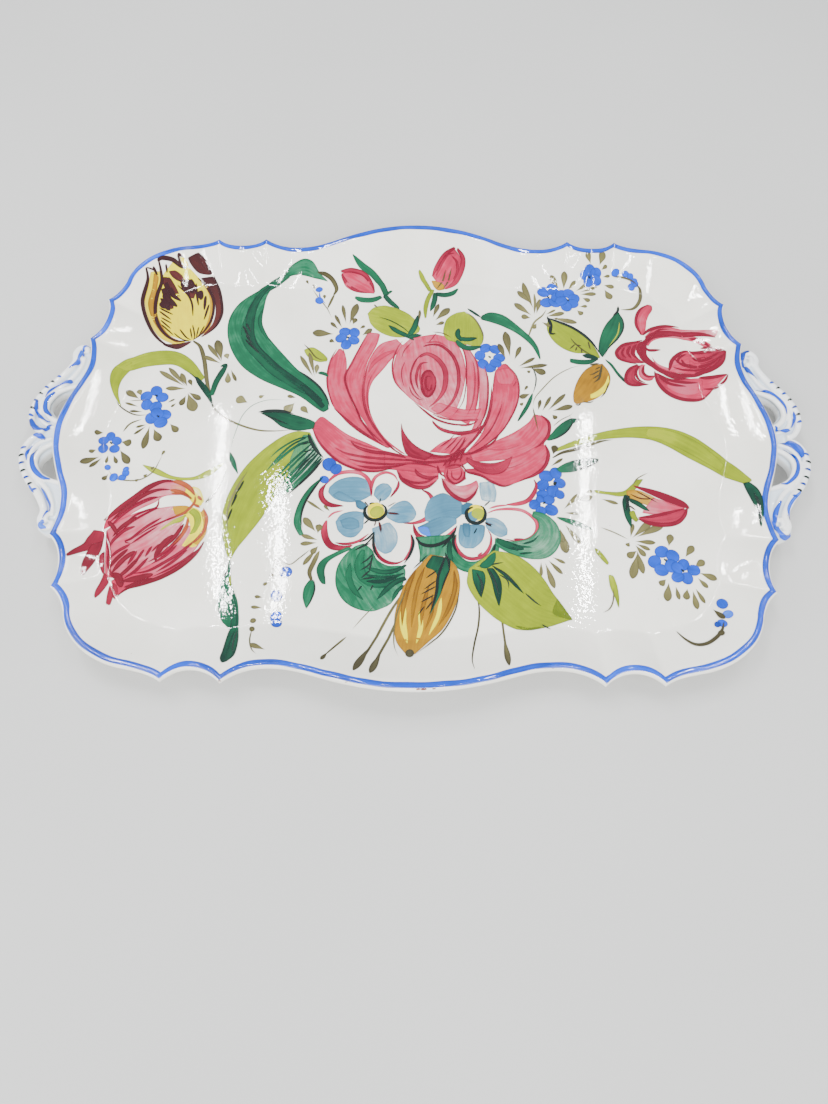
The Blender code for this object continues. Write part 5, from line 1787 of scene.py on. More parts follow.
anemones.blot(YELLOW, (-21.8, -46), 4.9, (0.55, 0.45))
anemones.blot(LEAF, (-21.2, -46.6), 3.6, (0.2, 0.3))
anemones.blot(YELLOW, (35.3, -46.5), 4.8, (0.5, 0.45))
anemones.blot(HAZE, (33, -49), 3.2, (0.6, 0.5))
anemones.blot(LEAF, (36, -47.2), 3.4, (0.2, 0.3))
for line, width in (
    ([(-26, -42.3), (-28, -45), (-27.5, -49), (-24, -51.6), (-19.5, -51.2), (-16.3, -48), (-16.3, -44),
     (-19, -41.3)], 2.0),
    ([(33.5, -42.8), (30, -45), (29.5, -49), (31.5, -52.3), (35.5, -53.2), (39, -51), (40.2, -47),
     (39, -43.3), (37, -42)], 2.0),
    ([(-26, -42), (-24, -41), (-22.5, -41.3)], 1.0),
    ([(-28.5, -40), (-26, -43)], 0.9),
    ([(-19.8, -41), (-19.2, -37.5)], 0.9),
    ([(-28.5, -54.5), (-25, -51)], 1.0),
    ([(39.5, -42.5), (43.3, -38.6)], 0.9),
    ([(33.3, -60), (35.3, -56)], 0.9),
    ([(29.4, -38), (29.4, -41)], 0.8),
    ([(39.5, -52.5), (43.5, -55.3)], 1.4),
    ([(-22.3, -59), (-22.7, -64), (-21.8, -71), (-19.3, -75)], 1.4),
    ([(-1.5, -60.5), (-0.3, -66), (-2.2, -73), (-5.5, -78.5)], 1.5),
    ([(0.5, -62), (4, -66.3), (10, -67.5), (17, -65), (22, -60), (24, -54.5)], 1.9),
    ([(22.5, -60), (21.8, -66), (24.3, -72.5)], 1.5),
    ([(22.5, -58), (18.5, -65), (15, -69)], 1.3),
    ([(45.5, -62), (51, -64.4), (58, -65.2)], 1.2),
    ([(45.2, -66), (44, -70), (41, -75)], 1.2),
    ([(-22.3, -59), (-26, -63.5), (-31, -66)], 1.2),
):
    anemones.stroke(BLACK, width, line, (0.95, 0.9), (0.4, 0.3))
for line, width in (
    ([(-15.5, -47.2), (-8, -48)], 1.3),
    ([(-20, -52.5), (-19, -56), (-18.5, -60)], 1.4),
    ([(-21.5, -52.5), (-22.5, -56)], 0.9),
    ([(-15.5, -43.5), (-10, -40)], 0.7),
    ([(40, -53.5), (44.5, -54)], 0.8),
):
    anemones.stroke(BROWN, width, line, (0.55, 0.65))
anemones.finish()

# %% Stems and dots along the near edge
stems = Motif("painted_near_stems")
for touch in (
    (0.7, [(-20, -102), (-27, -110), (-33, -117.5)], (0.4, 0.3)),
    (1.2, [(-35, -121), (-41, -128), (-45.5, -133.5)], (0.5, 0.8), (0.3, 0.6)),
):
    stems.stroke(OLIVE, *touch)
stems.dab(OLIVE, (-43.5, -130.5), (-47.3, -136.5), 2.2, (0.9, 1.0))
stems.stroke(OLIVE, 1.4, [(-3.5, -92), (-12, -106), (-19, -120), (-24.5, -132), (-29, -140)],
    (0.5, 0.75), (0.3, 1.0))
stems.dab(OLIVE, (-21, -124), (-30.3, -143), 3.4, (0.7, 0.95))
stems.stroke(OLIVE, 1.4, [(-6.5, -106), (-12, -119), (-17, -131), (-20.5, -140)], (0.5, 0.75),
    (0.3, 1.0))
stems.dab(OLIVE, (-15.5, -128), (-21.8, -144.5), 3.2, (0.7, 0.9))
for width, points, loads, ends in (
    (1.1, [(33.5, -94), (35.2, -104), (34.5, -114), (32, -125), (30.3, -135), (31.2, -141.5)],
     (0.7, 0.9), (0.3, 0.4)),
    (1.2, [(45.8, -103), (47.4, -113), (48, -124), (48.3, -134)], (0.6, 0.6), (0.3, 0.9)),
):
    stems.stroke(OLIVE, width, points, loads, ends)
stems.dab(OLIVE, (47.5, -117), (48.8, -139.5), 2.8, (0.55, 0.75))
for centre, radius, loads in (
    ((-70, -84), 3.3, (0.75, 0.6)),
    ((-74, -98), 3.2, (0.8, 0.6)),
    ((-73.3, -110), 3.0, (0.4, 0.5)),
    ((-72.8, -113.5), 2.8, (0.6, 0.8)),
):
    stems.blot(BLUE, centre, radius, loads)
for tail, head in (
    ((-73, -80), (-76.5, -76.5)),
    ((-73, -83), (-77.5, -81.5)),
    ((-74, -86.5), (-79, -85.8)),
    ((-78, -89.5), (-82, -92)),
    ((-80.5, -99), (-86, -98.5)),
    ((-80, -105), (-87.5, -104.5)),
):
    stems.dab(OLIVE, tail, head, 1.9, (0.4, 0.6))
for centre, radius, loads in (
    ((-85.3, -112.3), 1.6, (0.5, 0.6)),
    ((-85.3, -117.3), 1.6, (0.6, 0.7)),
):
    stems.blot(OLIVE, centre, radius, loads)
stems.stroke(OLIVE, 0.9, [(-85.3, -117), (-85.5, -124), (-83.5, -130), (-80, -133.5)], (0.6, 0.5))
stems.dab(OLIVE, (-75, -131), (-85.5, -126.5), 2.6, (0.3, 0.7))
stems.wash(LEAF, [(-62, 6), (-70, 6.6), (-77.5, 3.5), (-84.5, -2), (-91, -8.5), (-97, -16), (-102, -25),
    (-106, -35), (-108.3, -46), (-108.3, -57), (-105.5, -68), (-101.8, -78)], [(-61, 4), (-62, -5),
    (-65, -14), (-70, -23), (-74, -31), (-78.5, -37), (-82, -43), (-84.5, -49), (-88.5, -56),
    (-93, -63), (-97.5, -70), (-101, -78)], (0.42, 0.5, 0.46))
stems.wash(GREEN, [(-66, 4), (-70, -4), (-72.5, -12), (-73, -20), (-74, -28), (-76, -36)], [(-61, 4),
    (-54.5, -11), (-59, -19), (-65, -26.5), (-70, -32.5), (-75.5, -36.5)], (0.2, 0.1, 0.0))
for line, width in (
    ([(-62, 0), (-69, -3.5), (-76, -10), (-83.5, -19)], 1.6),
    ([(-60.5, -2), (-66, -8), (-73, -16), (-82, -28)], 1.4),
    ([(-58, -5), (-64, -13), (-73, -25), (-83, -39)], 1.6),
    ([(-56, -8), (-62.5, -17), (-71, -28), (-80.5, -39.5)], 1.8),
    ([(-54, -11.5), (-61, -21), (-68, -30), (-77, -38)], 2.0),
    ([(-64, 2), (-72, -3), (-79, -11), (-87, -23)], 1.4),
    ([(-59, -3.5), (-66, -11), (-74, -21), (-84, -34)], 1.2),
    ([(-57, -6.5), (-63.5, -15), (-72, -27), (-81, -38)], 1.2),
    ([(-55, -10), (-61, -19), (-69.5, -29.5), (-77, -37)], 1.4),
    ([(-62, 3), (-70, 0.5), (-79, -6), (-86, -14)], 1.2),
):
    stems.stroke(GREEN, width, line, (0.85, 0.15), (0.5, 0.05))
for line, width in (
    ([(-63, 5), (-61.3, 0), (-58, -6), (-53, -12)], 2.0),
    ([(-61, -1), (-67, -3)], 1.0),
    ([(-53, -12), (-59, -21), (-67, -30.5), (-73, -37)], 1.4),
    ([(-59, -6), (-66, -8)], 0.9),
    ([(-57, -8), (-64, -15), (-70, -24)], 0.9),
    ([(-60, -12), (-66, -21)], 0.8),
    ([(-98, -27), (-101, -35)], 1.2),
    ([(-101, -36), (-104, -45)], 1.2),
    ([(-103, -45), (-105.5, -55)], 1.2),
    ([(-100, -31), (-103, -40)], 0.9),
):
    stems.stroke(BLACK, width, line, (0.8, 0.7), (0.4, 0.2))
stems.stroke(OLIVE, 1.2, [(-96, -20), (-102, -33), (-105.5, -47), (-104, -60)], (0.4, 0.3), (0.2, 0.2))
stems.stroke(GREEN, 1.6, [(-101.3, -77), (-100.8, -84), (-100.3, -92)], (0.6, 0.5))
stems.wash(GREEN, [(-101.5, -84), (-104.5, -91), (-105.5, -99), (-105, -106), (-102, -113),
    (-97.5, -118), (-98, -126), (-99.8, -134), (-98.5, -138)], [(-100.5, -85), (-98, -93),
    (-94.5, -101), (-93, -109), (-92.3, -117), (-91.3, -123), (-91.3, -130), (-92.3, -134),
    (-95.5, -137)], (0.45, 0.55, 0.85))
stems.stroke(GREEN, 3.0, [(-99.5, -92), (-97, -103), (-95.3, -113), (-96.5, -122), (-98, -134)],
    (0.6, 0.85), (0.2, 0.8))
stems.stroke(BLACK, 1.0, [(-101, -81), (-104.3, -90), (-105, -97)], (0.9, 0.6))
stems.stroke(LEAF, 1.1, [(-100, -86), (-99.5, -94)], (0.3, 0.3))
stems.stroke(BLACK, 1.0, [(-93, -117), (-94, -127), (-92.5, -133)], (0.4, 0.5))
stems.finish()

# %% Red tulip
red_tulip = Motif("painted_red_tulip")
WINE = "wine_red"
for left, right, loads in (
    ([(-140, -30), (-132, -31), (-126, -36), (-120, -40)], [(-139, -36), (-131, -37), (-125, -43),
     (-120.5, -44)], (0.15, 0.4, 0.5)),
    ([(-127, -31), (-122.5, -33), (-119, -41)], [(-128, -33), (-125, -37), (-121, -43)], (0.1, 0.2)),
):
    red_tulip.wash(YELLOW, left, right, loads)
for left, right, loads in (
    ([(-173, -52), (-167, -46), (-159, -39), (-151, -31.5), (-143, -28.3), (-136, -29), (-130, -33)],
     [(-174, -60), (-168, -56), (-161, -51), (-155, -46.5), (-147, -42), (-142, -38), (-132, -37)],
     (0.42, 0.28, 0.12)),
    ([(-172, -60), (-165, -53), (-156, -48), (-149, -46), (-143, -45), (-137, -44), (-129, -44)],
     [(-168, -88), (-159, -89), (-150, -87), (-143, -83), (-139, -76), (-134, -64), (-129, -53)],
     (0.34, 0.22, 0.1)),
    ([(-127, -56), (-131, -65), (-137, -73), (-146, -81), (-156, -86), (-165, -90)], [(-116, -58),
     (-119.5, -69), (-128, -80), (-139, -88), (-150, -92.5), (-159.5, -99)], (0.18, 0.28, 0.5)),
):
    red_tulip.wash(PINK, left, right, loads)
for left, right, loads in (
    ([(-178.5, -60), (-180.5, -66), (-181.5, -70), (-185.5, -75), (-188, -79)], [(-172.5, -60),
     (-172, -68), (-175, -72.5), (-180, -75.5), (-186.5, -80)], (0.6, 0.7, 0.85)),
    ([(-177.5, -70), (-179, -77), (-180, -84), (-179.5, -89)], [(-171.8, -66), (-172, -73), (-174, -81),
     (-178, -89)], (0.7, 0.85, 0.7)),
):
    red_tulip.wash(WINE, left, right, loads)
red_tulip.wash(PINK, [(-172.5, -76), (-172, -81), (-169.5, -87)], [(-170.3, -72), (-169, -80),
    (-168, -87)], (0.85, 0.7))
for left, right, loads in (
    ([(-169, -85), (-170, -92), (-171, -97), (-170.8, -101.5)], [(-164.5, -89), (-166, -94),
     (-168, -99), (-169.7, -101.8)], (0.6, 0.55)),
    ([(-165, -93), (-165, -99), (-164.5, -105)], [(-162.5, -92), (-161.5, -98), (-161.8, -105)],
     (0.55, 0.5)),
    ([(-163.5, -91), (-163, -96), (-161.5, -101)], [(-161, -92), (-159.5, -96), (-160.2, -101)],
     (0.6, 0.5)),
):
    red_tulip.wash(WINE, left, right, loads)
red_tulip.wash(YELLOW, [(-128, -44), (-122, -46), (-117.5, -52), (-116.5, -59), (-119, -66),
    (-121, -70)], [(-138, -46), (-130, -50), (-126.5, -54), (-125, -60), (-127, -65), (-129, -69)],
    (0.2, 0.42, 0.15))
red_tulip.wash(LEAF, [(-125, -45), (-121, -48), (-119.5, -54), (-122, -61)], [(-128, -48),
    (-124.5, -51), (-123.5, -56), (-125.5, -62)], (0.4, 0.5, 0.3))
for left, right, loads in (
    ([(-137, -44), (-131, -43.5), (-127, -44)], [(-135, -50), (-131, -50), (-128.5, -48)], (0.25, 0.3)),
    ([(-119, -46), (-116, -54), (-116, -62), (-120, -69)], [(-121, -47), (-118.5, -54), (-118.5, -61),
     (-122.5, -67)], (0.2, 0.35, 0.15)),
):
    red_tulip.wash(OCHRE, left, right, loads)
red_tulip.wash(LEAF, [(-128, -49), (-135, -52.5), (-141.5, -58)], [(-130, -54), (-136, -56),
    (-142, -60)], (0.35, 0.1))
for width, line in (
    (3.2, [(-174, -54), (-167, -46.5), (-158.5, -38.5), (-151, -31.5), (-143.5, -28), (-136, -28.2)]),
    (1.8, [(-171, -55), (-165, -48.5), (-157, -43), (-150, -39), (-144, -38.3)]),
    (2.4, [(-169, -53), (-162, -45), (-155, -38), (-147, -34), (-139, -33.5)]),
    (1.7, [(-170, -58), (-166, -52), (-160, -46), (-152, -41), (-143, -37.5)]),
    (1.4, [(-145, -39.5), (-145.8, -45), (-151.5, -47.2), (-158, -51), (-162, -56)]),
    (1.4, [(-144, -45), (-152, -49.5), (-159, -55), (-164.5, -62)]),
    (1.6, [(-142, -51.5), (-150, -57.5), (-157, -64.5), (-160.5, -66.6), (-156, -68)]),
    (1.3, [(-157, -68), (-150, -62), (-143, -56.5)]),
    (1.2, [(-127, -48), (-137, -52), (-147, -57.5), (-155, -64)]),
    (2.0, [(-156, -57), (-162, -60), (-167, -66), (-169, -72)]),
    (2.2, [(-156, -51), (-163, -57), (-168, -64)]),
    (2.2, [(-172, -54), (-168, -58), (-165, -63)]),
    (1.8, [(-157, -68), (-164, -73), (-168, -78)]),
    (2.2, [(-158, -71), (-164, -78), (-167, -84)]),
    (2.6, [(-154, -72), (-160, -78), (-165, -86)]),
    (2.2, [(-151, -76), (-157, -84), (-163, -90)]),
    (1.8, [(-146, -76), (-152, -84), (-158, -89)]),
    (1.8, [(-153, -72), (-157, -81)]),
    (1.5, [(-149, -71), (-153, -79)]),
    (1.5, [(-145, -69), (-148, -76)]),
    (1.2, [(-141, -67.5), (-145, -73)]),
    (3.0, [(-134, -62), (-139, -68), (-142, -75), (-141.5, -79)]),
    (2.2, [(-129, -55), (-133, -63), (-139, -71)]),
    (2.0, [(-127, -57), (-132, -66), (-139, -74), (-146, -79)]),
    (1.6, [(-131, -68), (-137, -75), (-144, -80)]),
    (1.8, [(-121, -65), (-129, -73), (-137, -79), (-145, -84), (-154, -86)]),
    (1.6, [(-125, -71), (-133, -79), (-141, -85)]),
    (1.3, [(-118.5, -70), (-126, -77), (-134, -83), (-143, -88)]),
    (3.6, [(-158, -94), (-161, -88), (-166, -86)]),
    (3.0, [(-142, -86), (-150, -88.5), (-159, -90.5)]),
    (2.6, [(-140, -88.5), (-149, -91.5), (-157, -94)]),
    (2.4, [(-116.5, -66), (-120, -73), (-128, -81.5), (-137, -87.5), (-147, -91.8), (-155.5, -95),
     (-160, -99.8)]),
    (1.8, [(-171.5, -60), (-170, -66), (-168, -73), (-167, -82), (-163, -88)]),
):
    red_tulip.stroke(WINE if width > 2.1 else PINK, width, line, (0.75, 0.85), (0.35, 0.2))
for width, line in (
    (2.6, [(-139, -28), (-133, -29.5), (-128, -33), (-124.8, -37.5)]),
    (2.0, [(-140, -33.7), (-133, -35.3), (-126, -39.5)]),
    (1.4, [(-139, -36), (-132, -36.5), (-126.3, -40)]),
    (1.5, [(-125, -37.5), (-124.5, -40.5), (-126, -44), (-130, -48.5), (-138, -52)]),
    (1.6, [(-123.5, -37.5), (-120.5, -40.5)]),
    (1.6, [(-125, -43), (-121, -45)]),
    (1.7, [(-119.5, -45), (-116.8, -51), (-117, -58), (-121, -65), (-128, -70.5)]),
    (1.6, [(-127.3, -51), (-127.4, -56), (-130, -62)]),
    (1.4, [(-126.2, -56), (-129.5, -63), (-134, -69)]),
):
    red_tulip.stroke("iron_red", width, line, (0.6, 0.75), (0.35, 0.2))
for touch in (
    (1.5, [(-118.5, -42), (-115.5, -38), (-113, -34.5)], (0.8, 0.6), (0.6, 0.3)),
    (0.8, [(-113.5, -35), (-110.5, -28), (-108.5, -18)], (0.5, 0.3)),
):
    red_tulip.stroke(OLIVE, *touch)
red_tulip.finish()

# %% [markdown]
# ## The blue line
#
# The lip is finished with one line of cobalt, brushed while the platter turns on a banding wheel. The
# lobes make the brush rise and dip, so the painter goes from cusp to cusp, and the strokes meet there
# a little darker. A perfectly even ring would look printed.

# %% Rim line
LINE_INSET = 1.1  # from the outermost edge of the lip to the line, in mm
LINE_WIDTH = 3.5
LINE_LIFT = 0.09  # the line is laid over the flowers' strokes that reach the lip
rim = Motif("painted_rim_line", lift=LINE_LIFT)
random.seed(7)
cusps = [i for i, (_, _, rise) in enumerate(PLAN) if rise < 1e-6]
print("cusps along the lip:", len(cusps))
for start, stop in zip(cusps, cusps[1:] + [cusps[0] + len(PLAN)]):
    inner, outer = [], []
    drift = random.uniform(0, 6)
    for i in range(start - 1, stop + 2):
        lip, crease, _ = PLAN[i % len(PLAN)]
        outward = (lip - crease).normalized()
        wobble = 0.22 * math.sin(i * 0.31 + drift) + 0.12 * math.sin(i * 0.83 + drift)
        outer.append(lip - outward * (LINE_INSET + 0.6 * wobble))
        inner.append(lip - outward * (LINE_INSET + LINE_WIDTH + wobble))
    tones = [random.uniform(0.4, 0.72) for _ in range(3)]
    rim.lay(BLUE, inner, outer, tones, 8)
# Here and there the brush went over the line twice.
for start, stop in ((5, 22), (60, 76), (118, 139), (170, 181), (231, 252), (300, 316)):
    path = []
    for i in range(start, stop):
        lip, crease, _ = PLAN[i % len(PLAN)]
        path.append(lip - (lip - crease).normalized() * (LINE_INSET + LINE_WIDTH * 0.5))
    rim.stroke(BLUE, 1.6, path, (0.5, 0.62), (0.2, 0.2))
rim.finish()

# %% [markdown]
# ## Chips and wear
#
# The lip of a used platter is nicked where it meets other plates. Tin glaze flakes off there and shows
# the reddish clay. The nicks are flat enough to be made like paint, as films of bare clay.

# %% Lip chips
CHIP_INSET = 0.9  # from the lip's outermost edge to the middle of a chip, in mm
wear = Motif("chipped_glaze")
# Each chip: where it is along the near lip, its width and its depth.
for x, width, depth in (
    (2, 2.6, 0.7),
    (6.5, 3.4, 0.9),
    (11, 2.2, 0.6),
    (-33, 1.8, 0.5),
    (71, 1.6, 0.5),
    (-98, 2.0, 0.6),
):
    lip, crease, _ = min(PLAN, key=lambda sample: (sample[0] - Vector((x, -150))).length)
    edge = lip - (lip - crease).normalized() * CHIP_INSET
    wear.stroke("bare_clay", depth, [edge + Vector((-width / 2, 0)), edge + Vector((width / 2, 0.2))],
        (0.5, 0.8), (0.5, 0.5))
wear.finish()

# %% [markdown]
# ## The handles
#
# Each handle is two scrolls joined at a notch, modelled by hand and luted under the lip with wet
# clay. A scroll is a flat body with ridges: an outer rim that curls into a knob, a middle rib, and a
# collar round the finger hole. The ridges are swept along given lines and laid on the body.
# Joining them with Booleans would leave knife-sharp creases that wet clay and glaze never have. A
# voxel remesh melts them into one skin, and a little smoothing does what the glaze does.

# %% Handle lines
BODY_BOTTOM = 7.5
BODY_TOP = 14.8
BODY_EDGE = 2.2
SCROLL_OUTLINE = [
    (221.5, 0), (225.0, 6), (227.0, 14), (225.6, 23), (221.0, 32), (213.5, 41.5), (208.2, 51),
    (209.8, 58.5), (206.5, 63), (200.5, 64.5), (194.5, 60), (193.0, 46), (196.0, 33), (203.5, 29.2),
    (210.8, 28), (215.5, 20.5), (211.5, 12.5), (204.5, 8.8), (200.0, 0),
]
# Each ridge of one scroll: its line, its thickness and how high its middle lies.
RIDGES = [
    ([(216, 1.2), (220.5, 2.6), (224, 8), (225, 14.5), (223.4, 22.5), (218.8, 31), (211.5, 40.3),
     (206.3, 50), (207, 56.5), (204.5, 61), (200.8, 60.5), (200.2, 57)], 2.3, 16.0),
    ([(210, 3.4), (216.5, 6.4), (219.8, 11), (220.4, 17), (218.2, 24), (212.5, 31.5), (206.5, 38),
     (202.5, 46), (201, 54)], 1.5, 15.9),
    ([(201, 5), (207, 6.8), (213, 9.8), (216.8, 14.8), (217, 20.8), (213.2, 27.5), (207.5, 31),
     (200, 33.5)], 1.8, 16.0),
    ([(203.5, 51.5), (204.2, 55.5), (203.2, 58)], 1.7, 16.7),
]
HANDLE_VOXEL = 0.55
STRAND_SIDES = 12


def add_ridge(shape, points, thickness, height, side, half):
    """A round strand of clay along a line, thinner at its ends."""
    count = max(10, round(length_of(points) / 1.2))
    spine = through([(x * side, y * half) for x, y in points], count)

    def place(vert, i, j):
        ahead = spine[min(i + 1, count - 1)] - spine[max(i - 1, 0)]
        across = Vector((-ahead.y, ahead.x)).normalized()
        thick = thickness * (0.4 + 0.6 * math.sin(math.pi * (0.06 + 0.88 * i / (count - 1))) ** 0.5)
        turn = 2 * math.pi * j / STRAND_SIDES
        spot = spine[i] + across * thick * math.cos(turn)
        vert.co = Vector((spot.x, spot.y, height + thick * math.sin(turn))) * MM

    bent_grid(shape, count - 1, STRAND_SIDES, place)


def handle_body(side):
    """The flat body of both scrolls, from a filled curve with rounded edges."""
    curve = bpy.data.curves.new("scroll_outline", "CURVE")
    curve.dimensions = "2D"
    curve.fill_mode = "BOTH"
    curve.resolution_u = 6
    curve.extrude = (BODY_TOP - BODY_BOTTOM) / 2 * MM - BODY_EDGE * MM
    curve.bevel_depth = BODY_EDGE * MM
    curve.bevel_resolution = 3
    curve.offset = -BODY_EDGE * MM
    outline = SCROLL_OUTLINE + [(x, -y) for x, y in SCROLL_OUTLINE[-2:0:-1]]
    spline = curve.splines.new("BEZIER")
    spline.bezier_points.add(len(outline) - 1)
    spline.use_cyclic_u = True
    for point, (x, y) in zip(spline.bezier_points, outline):
        point.co = (x * side * MM, y * MM, 0)
        point.handle_left_type = "AUTO"
        point.handle_right_type = "AUTO"
    holder = bpy.data.objects.new("scroll_outline", curve)
    bpy.context.scene.collection.objects.link(holder)
    solid = holder.evaluated_get(bpy.context.evaluated_depsgraph_get())
    mesh = bpy.data.meshes.new_from_object(solid)
    mesh.transform(Matrix.Translation((0, 0, (BODY_TOP + BODY_BOTTOM) / 2 * MM)))
    bpy.data.objects.remove(holder)
    return mesh


# %% Handle glaze
# On the handles the hollows between the ridges are tinted blue-grey by their height: painted shade.
HOLLOW_FLOOR = 12.0  # heights in mm between which the painted shade of the hollows comes and goes
RIDGE_TOP = 17.0
handle_glaze, handle_tone, handle_place = tin_glaze("handle_tin_glaze", "#F1F1EE", "#E6E8E8")
height = add_node(handle_glaze, "ShaderNodeSeparateXYZ", {"Vector": handle_place})
level = remap(handle_glaze, height.outputs["Z"], (HOLLOW_FLOOR * MM, RIDGE_TOP * MM))
# The stops: the outer sides stay white, the floor of the hollows is blue-grey painted shade, the ridges
# are white.
hollow_shade = ramp(handle_glaze, level, [
    (place, (grey, grey, grey, 1)) for place, grey in ((0.1, 0), (0.5, 0.7), (0.64, 0.6), (0.95, 0))
])
# Painted shade: the handle's white is mixed towards blue-grey low in the hollows.
shaded_handle_tone = blend(handle_glaze, hollow_shade, handle_tone, linear("#B9CBDD"))
glass_skin(handle_glaze, shaded_handle_tone, handle_place)

# %% Handle meshes
handles = {}
for name, side in (("handle_right", 1), ("handle_left", -1)):
    handle_shape = bmesh.new()
    handle_shape.from_mesh(handle_body(side))
    for half in (1, -1):
        for points, thickness, middle in RIDGES:
            add_ridge(handle_shape, points, thickness, middle, side, half)
    bmesh.ops.remove_doubles(handle_shape, verts=handle_shape.verts, dist=0.001 * MM)
    bmesh.ops.holes_fill(handle_shape, edges=handle_shape.edges, sides=0)
    bmesh.ops.recalc_face_normals(handle_shape, faces=handle_shape.faces)
    handle = finish_piece(name + "_scrolls", handle_shape, [handle_glaze], 180)
    melt = handle.modifiers.new("melt", "REMESH")
    melt.mode = "VOXEL"
    melt.voxel_size = HANDLE_VOXEL * MM
    melt.use_smooth_shade = True
    soften = handle.modifiers.new("soften", "SMOOTH")
    soften.factor = 0.5
    soften.iterations = 6
    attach(handle, "root")
    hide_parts(name)
    handles[name] = handle
bpy.context.view_layer.update()
depsgraph = bpy.context.evaluated_depsgraph_get()
surfaces = {name: BVHTree.FromObject(handle, depsgraph) for name, handle in handles.items()}

# %% [markdown]
# The hollows are then lined in cobalt, thick where the brush is pressed into the curl. On the outer
# rim the painter dots short ticks, which wear off first because hands rub there.

# %% Handle lines in cobalt
# Each line: which half it lies on, its width, its points and its paint load.
RIGHT_LINES = [
    (1, 2.6, [(203.5, 34), (209, 32.8), (214.8, 28.6), (218.3, 22), (218.6, 16.5)], (0.5, 0.55)),
    (1, 2.0, [(210, 8), (214, 5.4), (220, 6.8)], (0.4, 0.45)),
    (1, 1.7, [(220.5, 8.5), (222.8, 13), (223, 18.5)], (0.35, 0.5)),
    (1, 3.2, [(203.6, 62), (200, 61), (198.7, 56), (199.6, 51)], (0.75, 0.6)),
    (1, 1.8, [(199.6, 52), (202.5, 46), (206.5, 41.5)], (0.6, 0.45)),
    (-1, 3.0, [(212, 3), (218, 3.4), (222.3, 7.8), (223.3, 12.5)], (0.75, 0.4)),
    (-1, 2.6, [(212.5, 7), (217.4, 11), (218.9, 17.5), (216.6, 24.5), (211, 29.8), (207, 30.5)],
     (0.6, 0.45)),
    (-1, 2.0, [(217, 35.5), (211.5, 41), (208, 47), (208, 53)], (0.2, 0.4)),
    (-1, 2.6, [(205.5, 41), (202, 47), (199.8, 54), (200.6, 60), (204, 63), (208.6, 61)], (0.5, 0.35)),
]
LEFT_LINES = [
    (1, 2.0, [(199, 62), (202.2, 60.5), (203.3, 55), (204.8, 49.5), (208.5, 44.5)], (0.3, 0.45)),
    (1, 2.4, [(205.5, 36.5), (211.5, 33.8), (217.5, 28.3), (219.2, 24)], (0.5, 0.4)),
    (1, 3.0, [(213.8, 27.5), (217.6, 22.5), (217.4, 15.5), (212.6, 10.2)], (0.55, 0.65)),
    (1, 2.2, [(223.4, 22), (222.6, 14.5), (218.2, 9.4), (213.5, 8)], (0.55, 0.5)),
    (1, 3.2, [(224.6, 8.5), (221.5, 3.4), (216.5, 2.6), (211.6, 5)], (0.75, 0.55)),
    (-1, 2.8, [(221, 2.2), (217, 2.4), (213.6, 5.2)], (0.4, 0.6)),
    (-1, 2.0, [(221, 8), (222.6, 14), (222, 19)], (0.35, 0.25)),
    (-1, 3.0, [(217, 11.5), (218.8, 17), (216.6, 24.2), (211.4, 29.6), (205.5, 31.6)], (0.7, 0.4)),
    (-1, 2.0, [(210.5, 36), (206.5, 42), (203, 48.5), (204.8, 56.5)], (0.3, 0.4)),
    (-1, 2.6, [(204.5, 57), (205.6, 60.5), (202, 62)], (0.3, 0.25)),
    (-1, 1.4, [(216.8, 35.5), (212.8, 40.5)], (0.35, 0.3)),
]
TICK_WIDTH = 1.4
HANDLE_FILM_LIFT = 0.26  # the remeshed handles are rounder than their films, so these stand higher
TICKS = [
    (214, 38.6), (217.2, 34.9), (220, 30.9), (222.7, 26.6), (224.6, 21.6), (225.8, 16.5),
    (225.6, 11.5),
]
for name, side, lines in (("handle_right", 1, RIGHT_LINES), ("handle_left", -1, LEFT_LINES)):
    motif = Motif("painted_" + name, surfaces[name], HANDLE_FILM_LIFT, 3)
    for half, width, points, loads in lines:
        line = [(x * side, y * half) for x, y in points]
        motif.stroke(BLUE, width * 0.8, line, loads, (0.6, 0.35))
    for half in (1, -1):
        for step, (x, y) in enumerate(TICKS):
            inwards = Vector((-2.8, -0.7 - 0.15 * step))
            start = Vector((x, y)) - inwards * 0.2
            line = [(p.x * side, p.y * half) for p in (start, start + inwards)]
            load = (0.55, 0.85, 0.7)[step % 3]
            paint = BLACK if step % 2 else BLUE
            motif.stroke(paint, TICK_WIDTH, line, (load, load), (0.7, 0.4))
    motif.finish()

# %% [markdown]
# ## The foot
#
# The foot ring is turned on the underside and wiped free of glaze where it stands, or the platter
# would weld itself to the kiln shelf. So its sides are white and its sole is bare clay.

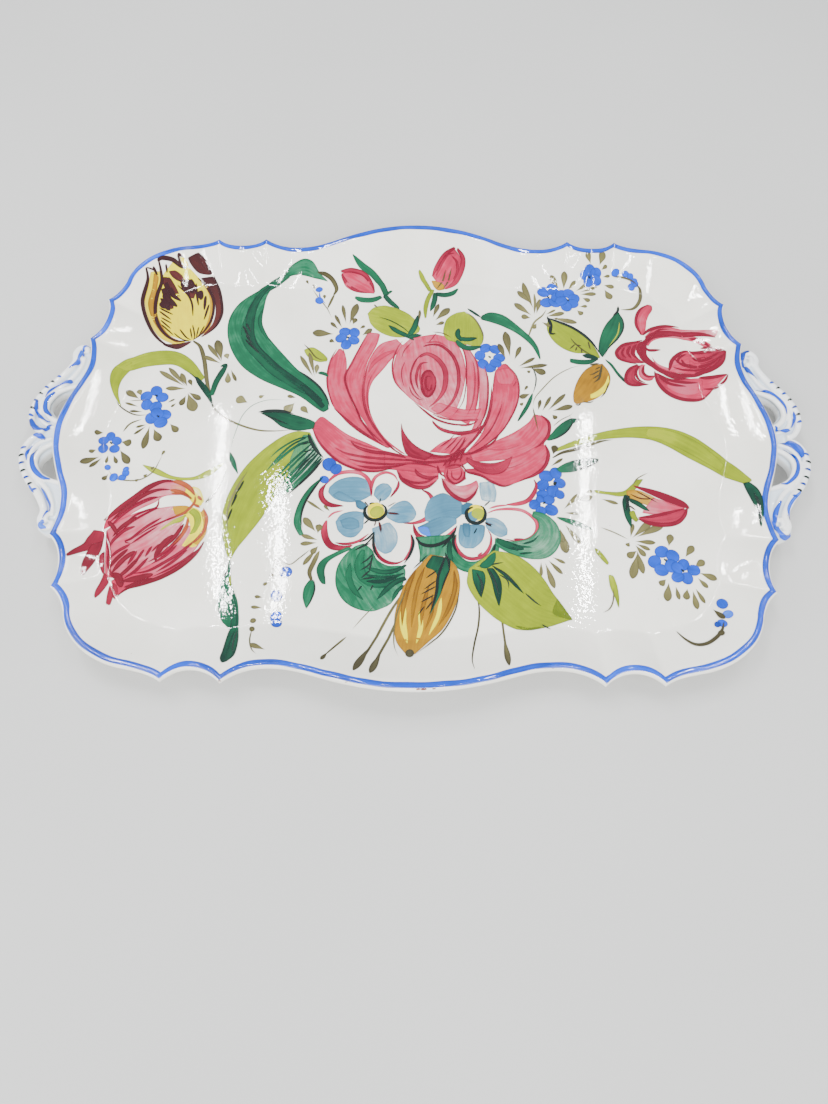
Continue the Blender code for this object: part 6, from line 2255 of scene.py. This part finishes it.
# %% Foot ring material
foot_glaze, foot_tone, foot_place = tin_glaze("foot_ring_glaze", "#E9E7DF", "#DEDBD1")
foot_height = add_node(foot_glaze, "ShaderNodeSeparateXYZ", {"Vector": foot_place})
wiped = noise(foot_glaze, foot_place, 7, 3.0)
edge_height = compute(foot_glaze, "MULTIPLY_ADD", wiped, -1.6 * MM, foot_height.outputs["Z"])
bare = remap(foot_glaze, edge_height, (-0.3 * MM, 0.2 * MM), (1.0, 0.0))
sand = noise(foot_glaze, foot_place, 0.9, 5.0)
clay = ramp(foot_glaze, sand, [(0.3, linear("#A9775A")), (0.7, linear("#CDA084"))])
glass_skin(foot_glaze, blend(foot_glaze, bare, foot_tone, clay), foot_place)
foot_rough = remap(foot_glaze, bare, (0.0, 1.0), (0.1, 0.85))
principled = next(node for node in foot_glaze.node_tree.nodes if node.type == "BSDF_PRINCIPLED")
foot_glaze.node_tree.links.new(foot_rough, principled.inputs["Roughness"])
foot_ring = bpy.data.objects["foot_ring"]
foot_ring.data.materials.clear()
foot_ring.data.materials.append(foot_glaze)
print("foot ring:", foot_glaze.name)

# %% [markdown]
# Inside the ring the underside is glazed too, so in the kiln the platter stood on the three points
# of a clay stilt. Broken off, they leave three rough scars. They are squashed balls of bare clay.

# %% Stilt marks
scar_clay = new_material("rough_clay_scar")
scar_place = add_node(scar_clay, "ShaderNodeTexCoord").outputs["Object"]
crumbs = noise(scar_clay, scar_place, 0.7, 4.0)
scar_colour = ramp(scar_clay, crumbs, [(0.3, linear("#8F5F46")), (0.7, linear("#C39A7E"))])
scar_inputs = {"Base Color": scar_colour, "Roughness": 0.85}
scar_shader = add_node(scar_clay, "ShaderNodeBsdfPrincipled", scar_inputs)
add_node(scar_clay, "ShaderNodeOutputMaterial", {"Surface": scar_shader.outputs["BSDF"]})
STILT_REACH = 62  # from the middle of the platter to each scar, in mm
SCAR_RADIUS = 1.3
scars = bmesh.new()
for turn in (0.4, 2.5, 4.6):
    spot = Vector((STILT_REACH * math.cos(turn), STILT_REACH * math.sin(turn), UNDERSIDE)) * MM
    squash = Matrix.Rotation(turn, 4, "Z") @ Matrix.Diagonal((1.5, 1.0, 0.35, 1))
    bmesh.ops.create_icosphere(scars, subdivisions=3, radius=SCAR_RADIUS * MM,
        matrix=Matrix.Translation(spot) @ squash)
stilt_marks = finish_piece("stilt_marks", scars, [scar_clay], 60)
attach(stilt_marks, "root")
